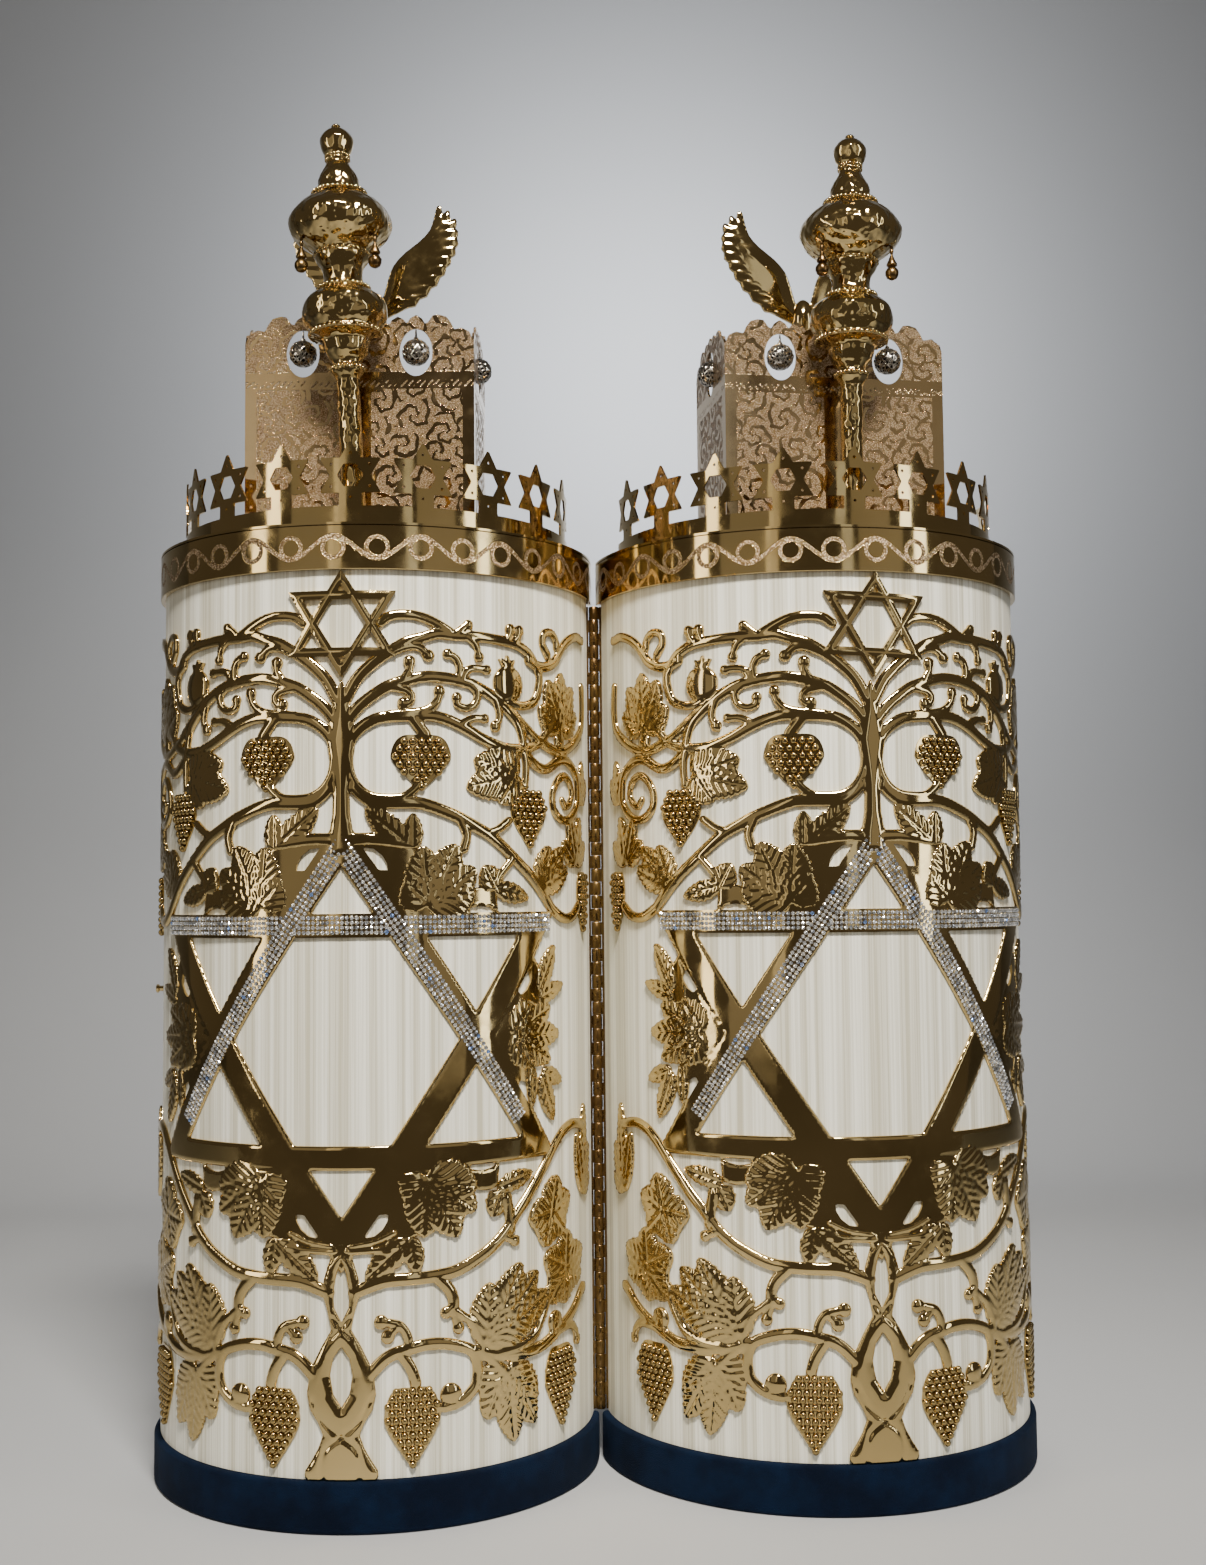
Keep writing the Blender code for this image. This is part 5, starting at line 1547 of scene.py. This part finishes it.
@dataclass(frozen=True)
class Crown:
    """The three-sided crown of engraved sheet, with scalloped tops and oval windows."""

    front: float = 92.0
    half_width: float = 75.0
    back: float = 3.0
    sheet: float = 1.5
    shoulder: float = 130.0
    oval_lift: float = 123.5
    oval: tuple[float, float] = (10.75, 15.75)
    oval_bay: float = 37.0
    field_middle: float = 37.5
    field_reach: tuple[float, float] = (29.5, 36.0)
    field_rise: tuple[float, float] = (4.0, 99.0)
    hatch_level: float = 103.0
    hatch_reach: float = 2.4
    hatch_pitch: float = 4.2
    hatch_line: float = 0.8
    crest_level: float = 111.0
    crest_room: float = 20.0
    ball: float = 8.6
    knot: float = 0.7
    pitch: float = 1.4
    front_crest: tuple[tuple[float, float], ...] = (
        (75, 0), (72, 7), (67, 9.5), (62, 8.5), (60, 13), (57, 17), (52, 18.5), (48, 18), (45, 13.5),
        (43, 12.5), (41, 16), (37, 18.5), (33, 16), (31, 12.5), (29, 15.5), (25, 17.5), (21, 15),
        (19.5, 12), (16, 14.5), (11, 16), (7, 15), (4, 17), (0, 18.5),
    )
    side_crest: tuple[tuple[float, float], ...] = (
        (44.5, 0), (41, 7), (36, 9), (32, 8), (30, 13), (26, 16), (21, 15.5), (18, 12.5), (15, 16),
        (10, 17.5), (6, 15), (4, 17), (0, 18.5),
    )

    def panel(self, page: Field, middle: float, half_width: float,
              crest: tuple[tuple[float, float], ...]) -> None:
        """Adds one panel with its scalloped top."""
        right = np.array(crest, float)
        left = right[::-1][1:] * (-1, 1)
        top = np.vstack((right, left)) + (0, DECK + self.shoulder)
        corners = np.vstack(((half_width, DECK), top, (-half_width, DECK))) + (middle, 0)
        page.add(polygon_distance(page.along, page.up, corners), self.sheet)

    def frost(self, along: np.ndarray, up: np.ndarray) -> np.ndarray:
        """Where the engraving is: two framed fields, a hatched strip over them, and the scalloped crest."""
        over = up - DECK
        front = np.abs(along) <= self.half_width
        side_middle = self.half_width + (self.front - self.back) / 2
        local = np.abs(along) - np.where(front, self.field_middle, side_middle)
        beside = np.abs(local) - np.where(front, *self.field_reach)
        field_edge = np.maximum(beside, np.maximum(over - self.field_rise[1], self.field_rise[0] - over))
        line = np.abs((along + over) % self.hatch_pitch - self.hatch_pitch / 2) - self.hatch_line
        hatch = np.maximum(np.abs(over - self.hatch_level) - self.hatch_reach, line)
        nearest = np.minimum(np.minimum(field_edge, hatch), self.crest_level - over)
        return np.clip(0.5 - nearest / 0.9, 0, 1)

    def fold(self, along: np.ndarray, up: np.ndarray, height: np.ndarray) -> np.ndarray:
        """Folds the sheet back at both corners of its front panel, its height measured outwards."""
        inset = self.sheet - height
        past = np.maximum(np.abs(along) - self.half_width, 0)
        folded = np.abs(along) > self.half_width - 1e-6
        x = np.where(folded, np.sign(along) * (self.half_width - inset), along)
        x = np.where(folded, x, np.clip(along, -self.half_width + inset, self.half_width - inset))
        y = np.where(folded, -self.front + np.maximum(past, inset), -self.front + inset)
        return np.column_stack((x, y, np.maximum(up, DECK)))

    def build(self, half: Half, finishes: Finishes) -> None:
        """Makes the crown for one half."""
        depth = self.front - self.back
        limit = self.half_width + depth
        count = round(self.half_width / self.pitch)
        pitch = self.half_width / count
        top = DECK + self.shoulder + self.crest_room
        page = Field.blank((0.0, math.ceil(limit / pitch) * pitch), (DECK, top), pitch)
        self.panel(page, 0.0, self.half_width, self.front_crest)
        self.panel(page, self.half_width + depth / 2, depth / 2, self.side_crest)
        for middle in (self.oval_bay, self.half_width + depth / 2):
            x, z = (page.along - middle) / self.oval[0], (page.up - DECK - self.oval_lift) / self.oval[1]
            page.cut((np.hypot(x, z) - 1) * 12.0)
        whole = page.mirrored()
        shape = whole.solid(self.fold, 0.0)
        flat = whole.solid(lambda along, up, height: np.column_stack((along, height, up)), 0.0)
        shape.values["along"] = flat.points[:, 0]
        shape.values["up"] = flat.points[:, 2]
        shape.values["frost"] = self.frost(flat.points[:, 0], flat.points[:, 2])
        make_piece("crown_sheet", shape, half, finishes.scrolled, ("crown",), 30.0)
        self.hang_balls(half, finishes)

    def hang_balls(self, half: Half, finishes: Finishes) -> None:
        """Makes the filigree ball in each window, on its wire: a ball whose surface swells in small knots."""
        lift = DECK + self.oval_lift
        side, front = self.half_width - self.sheet / 2, -self.front + self.sheet / 2
        middle = -(self.front + self.back) / 2
        places = ((-side, middle), (-self.oval_bay, front), (self.oval_bay, front), (side, middle))
        for number, (x, y) in enumerate(places, 1):
            angle = np.linspace(-math.pi / 2, math.pi / 2, 33)
            ball = turned(np.column_stack((np.sin(angle), np.cos(angle))), 48)
            latitude = np.arcsin(np.clip(ball.points[:, 2], -1, 1))
            turn = ball.values["turn"] * 2 * math.pi
            crossed = np.sin(7 * turn + 4 * latitude) * np.sin(7 * turn - 4 * latitude)
            swell = np.abs(crossed) * np.cos(latitude)
            ball.points *= (self.ball + self.knot * swell)[:, None]
            ball.points += (x, y, lift)
            eye = turned(np.array(EYE), 8, (x, y, lift))
            shape = joined(bare([ball, eye]))
            make_piece(f"filigree_ball_{number}", shape, half, finishes.filigree,
                       (f"ball_{number}",))


BELL = (
    (-22, 0), (-21.8, 1.6), (-20.6, 3.4), (-18.4, 4.3), (-16.2, 4.3), (-14.2, 3.0), (-13.4, 2.0),
    (-12.6, 3.4), (-11.6, 3.5), (-9.0, 2.2), (-6.5, 1.2), (-5.2, 0.7), (-4.0, 1.2), (-2.6, 1.3),
    (-1.4, 0.7), (-0.4, 1.2), (0.6, 0.8), (0.6, 0),
)
SCROLL = ((27.5, 0, 197), (29.5, 0, 194), (29.0, 0, 189.5), (27.0, 0, 187.2))


def hump(height: np.ndarray, level: float, width: float) -> np.ndarray:
    """A bell curve of height, 1 at its level."""
    return np.exp(-((height - level) / width) ** 2)


@dataclass(frozen=True)
class Finial:
    """The turned finial with its beaded rings, scrolls and bells."""

    out: float = 120.5
    foot: tuple[float, float] = (-1.5, 1.5)
    lean: tuple[float, float] = (math.radians(2.7), math.radians(0.7))
    bell_circle: float = 27.0
    bell_lift: float = 186.0
    bells: int = 3
    wire: float = 0.9
    upper_bulb: tuple[float, float] = (196, 13)
    lower_bulb: tuple[float, float] = (141, 9)
    cone: tuple[float, float] = (228, 3.5)
    cup: tuple[float, float] = (117, 5)
    bulb_relief: float = 0.9
    cup_relief: float = 0.5
    cone_relief: float = 0.7
    outline: tuple[tuple[float, float], ...] = (
        (0, 0), (0, 8.5), (4, 8.8), (7, 7.6), (20, 7.3), (50, 7.3), (92, 7.3), (97, 7.4), (99.5, 8.6),
        (102, 10.4), (104, 10.6), (106, 9.0), (109, 9.4), (113, 12.5), (118, 14.2), (122, 15.5),
        (124.5, 20.0), (125.5, 23.0), (127, 23.2), (128.5, 22.0), (131, 23.4), (135, 25.8), (141, 27.1),
        (147, 25.8), (152, 20.5), (154.5, 16.5), (156.5, 16.6), (158, 13.6), (163, 12.3), (169, 13.2),
        (174, 16.4), (177, 17.4), (178.5, 16.6), (181, 18.2), (185, 24.0), (191, 30.6), (198, 32.8),
        (205, 30.6), (211, 25.2), (215, 19.4), (217, 17.4), (218.4, 17.0), (219.6, 15.6), (221, 13.8),
        (224.3, 13.0), (227.6, 12.3), (232, 10.8), (236.4, 8.3), (239.7, 6.8), (240.4, 7.5), (241, 7.7),
        (241.7, 7.1), (242.6, 7.1), (243.3, 7.7), (244, 7.4), (245.8, 8.8), (249, 10.1), (252.3, 10.7),
        (255, 10.5), (258.4, 8.3), (260.6, 5.6), (261.6, 2.4), (262.3, 2.4), (263.3, 3.0), (264.4, 2.2),
        (265.0, 0),
    )
    beads: tuple[tuple[float, float, int, float], ...] = (
        (104.0, 10.4, 22, 1.5), (126.6, 22.8, 40, 1.5), (156.0, 16.2, 30, 1.5), (178.3, 17.0, 32, 1.5),
        (218.3, 16.8, 34, 1.5), (243.3, 7.5, 26, 0.8), (241.0, 7.5, 26, 0.8),
    )

    def leaned(self, points: np.ndarray, half: Half) -> np.ndarray:
        """Leans points of the upright finial and sets them on its foot."""
        index = 0 if half.side is Side.LEFT else 1
        lean, foot = self.lean[index], self.foot[index]
        return np.column_stack((
            foot + points[:, 0] * math.cos(lean) + points[:, 2] * math.sin(lean),
            points[:, 1] - self.out,
            DECK + points[:, 2] * math.cos(lean) - points[:, 0] * math.sin(lean),
        ))

    def body(self) -> Shape:
        """The turned body; its bulbs carry chased gadroons, a slow ripple round them."""
        lower = flowing(np.array(self.outline[1:-1]), 3)
        lower[:, 1] = np.maximum(lower[:, 1], 0.8)
        outline = np.vstack((self.outline[0], lower, self.outline[-1]))
        shape = turned(outline, 96)
        height, turn = shape.values["rise"], shape.values["turn"] * 2 * math.pi
        bulbs = hump(height, *self.upper_bulb) + hump(height, *self.lower_bulb)
        over = height - self.lower_bulb[0]
        ripple = self.bulb_relief * bulbs * np.sin(6 * turn + 0.6 * np.sin(over / 4.0)) * np.sin(over / 5.5)
        zigzag = np.clip(1 - np.abs((height - self.cone[0]) / 3.2 - 0.9 * np.sin(12 * turn)), 0, 1)
        ripple += self.cup_relief * hump(height, *self.cup) * np.abs(np.sin(6 * turn))
        ripple += self.cone_relief * hump(height, *self.cone) * zigzag
        away = np.hypot(shape.points[:, 0], shape.points[:, 1])
        grown = 1 + ripple / np.maximum(away, 3.0)
        shape.points[:, :2] *= grown[:, None]
        return shape

    def bead_rings(self) -> Shape:
        """Rings of small beads."""
        rings = []
        for height, radius, count, size in self.beads:
            angle = np.linspace(0, 2 * math.pi, count, endpoint=False)
            level = np.full(count, height)
            centres = np.column_stack((radius * np.cos(angle), radius * np.sin(angle), level))
            rings.append(bead(centres, size, 8, 5))
        return joined(rings)

    def build(self, half: Half, finishes: Finishes) -> None:
        """Makes the finial and its bells for one half."""
        parts = [self.body(), self.bead_rings()]
        angles = [math.pi / 2 + 2 * math.pi * bell / self.bells for bell in range(self.bells)]
        parts += [wire(flowing(np.array(SCROLL), 6), self.wire, angle) for angle in angles]
        shape = joined(bare(parts))
        shape.points = self.leaned(shape.points, half)
        make_piece("turned_finial", shape, half, finishes.chased, ("finial",), 50.0)
        for number, angle in enumerate(angles, 1):
            spot = (self.bell_circle * math.cos(angle), self.bell_circle * math.sin(angle), self.bell_lift)
            hook = self.leaned(np.array((spot,)), half)[0]
            bell = bare([turned(np.array(BELL, float), 20, tuple(hook))])[0]
            # The bells take the darker bronze, painted shade under the bulb.
            make_piece(f"teardrop_bell_{number}", bell, half, finishes.shade_bronze,
                       (f"bell_{number}",))


def wire(path: np.ndarray, radius: float, turn: float) -> Shape:
    """A closed round wire along a path that lies in an upright plane, turned about the z axis.

    In words: a ring stands square to the path at each of its points, and the end rings close to a point.

    Args:
        path: rows of distance from the axis, 0, and height.
        radius: the wire's radius.
        turn: angle about the z axis.

    Returns:
        The wire.
    """
    forward = np.gradient(path, axis=0)
    forward /= np.linalg.norm(forward, axis=1)[:, None]
    beside = np.array((0.0, 1.0, 0.0))
    over = np.cross(forward, beside)
    angle = np.linspace(0, 2 * math.pi, 10, endpoint=False)
    thick = np.full(len(path), radius)
    path = np.vstack((path[0], path, path[-1]))
    over = np.vstack((over[0], over, over[-1]))
    thick = np.concatenate(((0.01,), thick, (0.01,)))
    ring = (np.cos(angle)[None, :, None] * beside + np.sin(angle)[None, :, None] * over[:, None, :])
    points = (path[:, None, :] + thick[:, None, None] * ring).reshape(-1, 3)
    cosine, sine = math.cos(turn), math.sin(turn)
    x, y, z = points.T
    points = np.column_stack((x * cosine - y * sine, x * sine + y * cosine, z))
    return Shape(points, grid_faces(len(path), len(angle), around=True))


BEAK = ((0, 0), (0, 1.9), (3, 1.2), (5.5, 0.3), (5.6, 0))
POST = (
    (0, 0), (0, 11), (2, 11), (3.5, 8), (5, 4.2), (8, 3.2), (60, 3.0), (64, 4.4), (68, 3.0), (120, 3.0),
    (124, 4.6), (128, 3.0), (160, 3.0), (163, 0),
)


@dataclass(frozen=True)
class WingedBird:
    """The bird with raised wings on its post."""

    out: float = 17.0
    lift: float = 172.0
    pitch: float = 0.9
    sweep: float = 0.0009
    slant: tuple[float, float] = (0.45, 0.89)
    quill_pitch: float = 7.5
    quill_relief: float = 0.5
    swell: float = 1.5
    sheet: tuple[float, float] = (0.8, 1.2)
    body: tuple[float, float] = (17, 8.2)
    head: tuple[float, float] = (5.2, 4.8)
    head_place: tuple[float, float] = (8, 13)
    outline: tuple[tuple[float, float], ...] = (
        (0, -8), (2, 6), (6, 16), (9, 27), (13, 37), (21, 46), (31, 54), (38, 62), (41, 71), (43, 79),
        (46, 79.5), (47, 74), (50, 76.5), (52, 75.5), (52.5, 70), (55.5, 71), (57, 68.5), (56, 64),
        (58, 61.5), (57, 57.5), (58, 53), (56, 50), (56, 45.5), (53, 43), (52.5, 38.5), (49.5, 36),
        (48.5, 31), (45, 28.5), (43, 23), (39, 21), (36, 15), (31, 13), (28, 8), (23, 7), (15, 3), (9, 0),
    )

    def bend(self, along: np.ndarray, up: np.ndarray, height: np.ndarray) -> np.ndarray:
        """Stands the wings upright, a little swept back at their tips."""
        return np.column_stack((along, -self.out - height + self.sweep * along ** 2, DECK + self.lift + up))

    def build(self, half: Half, finishes: Finishes) -> None:
        """Makes the bird for one half: wings with rows of feathers, body, head, beak and post."""
        page = Field.blank((0.0, 64.0), (-10.0, 82.0), self.pitch)
        distance = polygon_distance(page.along, page.up, flowing(np.array(self.outline, float), 2))
        short, long = self.slant
        run, across = page.along * short + page.up * long, page.along * long - page.up * short
        trailing = np.clip((across - 8.0) / 5.0, 0, 1) * np.clip(1 + (distance + 5.0) / 5.0, 0, 1)
        quills = self.quill_relief * np.abs(np.sin(math.pi * (run - 0.7 * across) / self.quill_pitch))
        swell = self.swell * np.sqrt(np.clip(-distance / 9.0, 0, 1))
        page.add(distance, self.sheet[0] + swell + quills * trailing)
        wings = page.mirrored().solid(self.bend, -self.sheet[1])
        angle = np.linspace(-math.pi / 2, math.pi / 2, 17)
        level = DECK + self.lift
        profile = np.column_stack((self.body[0] * np.sin(angle), self.body[1] * np.cos(angle) ** 0.9))
        body = turned(profile, 24, (0, -self.out, level))
        ahead, above = self.head_place
        profile = np.column_stack((self.head[0] * np.sin(angle), self.head[1] * np.cos(angle)))
        head = turned(profile, 20, (0, -self.out + ahead, level + above))
        beak = turned(np.array(BEAK), 12)
        x, y, z = beak.points.T
        beak.points = np.column_stack((x, z - self.out + ahead + 3.5, y + level + above))
        beak.faces = beak.faces[:, ::-1]
        post = turned(np.array(POST, float), 20, (0, -self.out, DECK))
        shape = joined(bare([wings, body, head, beak, post]))
        make_piece("bird", shape, half, finishes.gold, ("winged_bird",), 50.0)


# The hinge


@dataclass(frozen=True)
class Hinge:
    """Each half's leaf of the long hinge with its knuckles, and the pin."""

    foot: float = 32.3
    top: float = 581.0
    knuckles: int = 60
    bore: float = 1.6
    barrel: float = 3.4
    ease: float = 0.2
    pin: float = 1.3
    leaf: tuple[float, float, float, float] = (3.7, 15.9, -0.3, -1.5)
    tab: tuple[float, float, float, float] = (2.0, 4.6, -0.35, -1.45)

    def slab(self, sides: tuple[float, float, float, float], low: float, high: float) -> Shape:
        """A closed slab beside the pin, from its near, far, inner and outer sides and its ends."""
        near, far, inner, outer = sides
        corners = ((near, inner), (far, inner), (far, outer), (near, outer))
        points = np.array([(x - DRUM_REACH, y, z) for z in (low, high) for x, y in corners], float)
        sides_faces = grid_faces(2, 4, around=True)[:, ::-1]
        return Shape(points, np.vstack((sides_faces, ((0, 1, 2, 3),), ((7, 6, 5, 4),))))

    def build(self, half: Half, finishes: Finishes) -> None:
        """Makes the hinge leaf and its knuckles; every second knuckle belongs to the other half."""
        pitch = (self.top - self.foot) / self.knuckles
        first = 0 if half.side is Side.LEFT else 1
        low = self.foot + pitch * np.arange(first, self.knuckles, 2)
        wide, eased = self.barrel, self.barrel - self.ease
        rim = np.array((
            (0.1, self.bore), (0.1, eased), (0.4, wide),
            (pitch - 0.4, wide), (pitch - 0.1, eased), (pitch - 0.1, self.bore),
        ))
        ring_faces = grid_faces(len(rim), 20, around=True, closed_rows=True)
        parts = [Shape(turned(rim, 20, (-DRUM_REACH, 0, start)).points, ring_faces) for start in low]
        parts.append(self.slab(self.leaf, self.foot, self.top))
        parts += [self.slab(self.tab, start + 0.3, start + pitch - 0.3) for start in low]
        # The hinge takes the darker bronze, painted shade for the crease it sits in.
        make_piece("hinge_strip", joined(parts), half, finishes.shade_bronze, ("hinge_leaf",))
        if half.side is Side.LEFT:
            rod = np.array(((self.foot, 0), (self.foot, self.pin), (self.top, self.pin), (self.top, 0)))
            pin = bare([turned(rod, 16, (-DRUM_REACH, 0, 0))])[0]
            make_piece("pin", pin, half, finishes.gold, ("hinge_pin",))


def carry_over(finishes: Finishes) -> None:
    """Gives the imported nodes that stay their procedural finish."""
    for name in ("left_clasp_knob", "right_clasp_catch"):
        node = frame["nodes"][name]
        node.data.materials.clear()
        node.data.materials.append(finishes.gold)
        LOG.info("%s keeps its shape", name)


# The room


WARM, COOL, PLAIN = (1.0, 0.93, 0.82), (0.93, 0.96, 1.0), (1.0, 1.0, 1.0)
CASE_MIDDLE = (0.0, 0.0, 0.45)


@dataclass(frozen=True)
class Lamp:
    """A soft rectangular light: its place, size in metres, watts and tint, what it faces and its beam."""

    name: str
    place: tuple[float, float, float]
    size: tuple[float, float]
    power: float
    tint: tuple[float, float, float] = WARM
    target: tuple[float, float, float] = CASE_MIDDLE
    spread_degrees: float = 180.0

    def build(self) -> None:
        """Hangs the lamp."""
        data = bpy.data.lights.new(self.name, "AREA")
        data.shape = "RECTANGLE"
        data.size, data.size_y = self.size
        data.energy = self.power
        data.color = self.tint
        data.spread = math.radians(self.spread_degrees)
        light = bpy.data.objects.new(self.name, data)
        light.location = self.place
        facing = Vector(self.target) - Vector(self.place)
        light.rotation_euler = facing.to_track_quat("-Z", "Y").to_euler()
        bpy.context.scene.collection.objects.link(light)


LAMPS = (
    Lamp("ceiling_front", (0.1, -1.5, 2.2), (0.6, 0.3), 14.0, spread_degrees=60.0),
    Lamp("strip_left", (-1.9, -1.0, 1.0), (0.30, 1.9), 8.0),
    Lamp("strip_right", (1.8, -1.2, 1.0), (0.26, 1.9), 7.0, COOL),
    Lamp("strip_behind_left", (-1.0, -2.4, 1.0), (0.30, 1.7), 1.1),
    Lamp("strip_behind_right", (0.75, -2.5, 1.0), (0.26, 1.7), 1.0, COOL),
    Lamp("card_left", (-1.6, -2.1, 0.8), (1.3, 1.6), 1.5),
    Lamp("card_right", (1.5, -2.2, 0.8), (1.1, 1.6), 1.3),
    Lamp("wall_glow", (0.2, 0.95, 1.2), (0.3, 0.3), 12.0, PLAIN, (0.25, 1.6, 1.22)),
)


@dataclass(frozen=True)
class Studio:
    """Floor, backdrop, lights and the camera."""

    camera_place: tuple[float, float, float] = (-0.084135, -1.231485, 0.375765)
    yaw: float = 0.0727
    pitch: float = 0.0665
    roll: float = -0.0096
    lens: float = 40.957
    floor_start: float = -0.5
    floor_end: float = 1.1
    floor_bend: float = 0.5
    wall_top: float = 3.0
    half_width: float = 4.0
    floor_drop: float = 0.0002
    paint: tuple[float, float, float, float] = (0.46, 0.48, 0.51, 1)
    room_tint: tuple[float, float, float, float] = (0.55, 0.47, 0.38, 1)
    room_glow: float = 0.15

    def stage(self) -> None:
        """Makes the pale floor, which ends just in front of the picture and curves up behind."""
        turn = np.linspace(0, math.pi / 2, 16)
        away, bend = self.floor_end, self.floor_bend
        curve = np.column_stack((away + bend * np.sin(turn), bend - bend * np.cos(turn)))
        profile = np.vstack(((self.floor_start, 0.0), curve, (away + bend, self.wall_top)))
        across = np.linspace(-self.half_width, self.half_width, 9)
        points = np.stack(np.broadcast_arrays(
            across[None, :], profile[:, 0][:, None], profile[:, 1][:, None] - self.floor_drop,
        ), axis=-1).reshape(-1, 3)
        mesh = bpy.data.meshes.new("backdrop")
        mesh.from_pydata(points.tolist(), [], grid_faces(len(profile), len(across)).tolist())
        mesh.shade_smooth()
        mesh.materials.append(begun("pale backdrop", {"Base Color": self.paint, "Roughness": 0.8})[0])
        backdrop = bpy.data.objects.new("backdrop", mesh)
        bpy.context.scene.collection.objects.link(backdrop)

    def camera(self) -> None:
        """Sets the camera where the photograph was taken from."""
        hinge = frame["joints"][0]["pos_m"]
        forward = Vector((
            math.sin(self.yaw) * math.cos(self.pitch), math.cos(self.yaw) * math.cos(self.pitch),
            math.sin(self.pitch),
        ))
        level = Vector((math.cos(self.yaw), -math.sin(self.yaw), 0))
        upright = level.cross(forward)
        right = level * math.cos(self.roll) + upright * math.sin(self.roll)
        up = upright * math.cos(self.roll) - level * math.sin(self.roll)
        data = bpy.data.cameras.new("camera")
        data.lens = self.lens
        data.sensor_width = 36.0
        camera = bpy.data.objects.new("camera", data)
        place = Vector(self.camera_place) + Vector((hinge[0], hinge[1], 0))
        camera.matrix_world = Matrix.Translation(place) @ Matrix((right, up, -forward)).transposed().to_4x4()
        bpy.context.scene.collection.objects.link(camera)
        bpy.context.scene.camera = camera

    def build(self) -> None:
        """Makes the whole room."""
        self.stage()
        self.camera()
        world = bpy.data.worlds.new("room")
        world.use_nodes = True
        background = world.node_tree.nodes["Background"]
        background.inputs["Color"].default_value = self.room_tint
        background.inputs["Strength"].default_value = self.room_glow
        bpy.context.scene.world = world
        for lamp in LAMPS:
            lamp.build()


def main() -> None:
    """Builds the room and both halves, in order."""
    logging.basicConfig(level=logging.INFO, format="%(message)s")
    Studio().build()
    finishes = Finishes.make()
    openwork = Openwork()
    shared = {
        "tree_upper": openwork.tree(openwork.parting, openwork.high),
        "tree_lower": openwork.tree(openwork.low, openwork.parting),
        "great_star": openwork.star_plate(), "grapes": openwork.grapes(),
    }
    for side in Side:
        half = Half(side)
        Drum().build(half, finishes)
        openwork.build(half, finishes, shared)
        Crystals().build(half, finishes)
        Gallery().build(half, finishes)
        Crown().build(half, finishes)
        Finial().build(half, finishes)
        WingedBird().build(half, finishes)
        Hinge().build(half, finishes)
    carry_over(finishes)


if __name__ == "__main__":
    main()
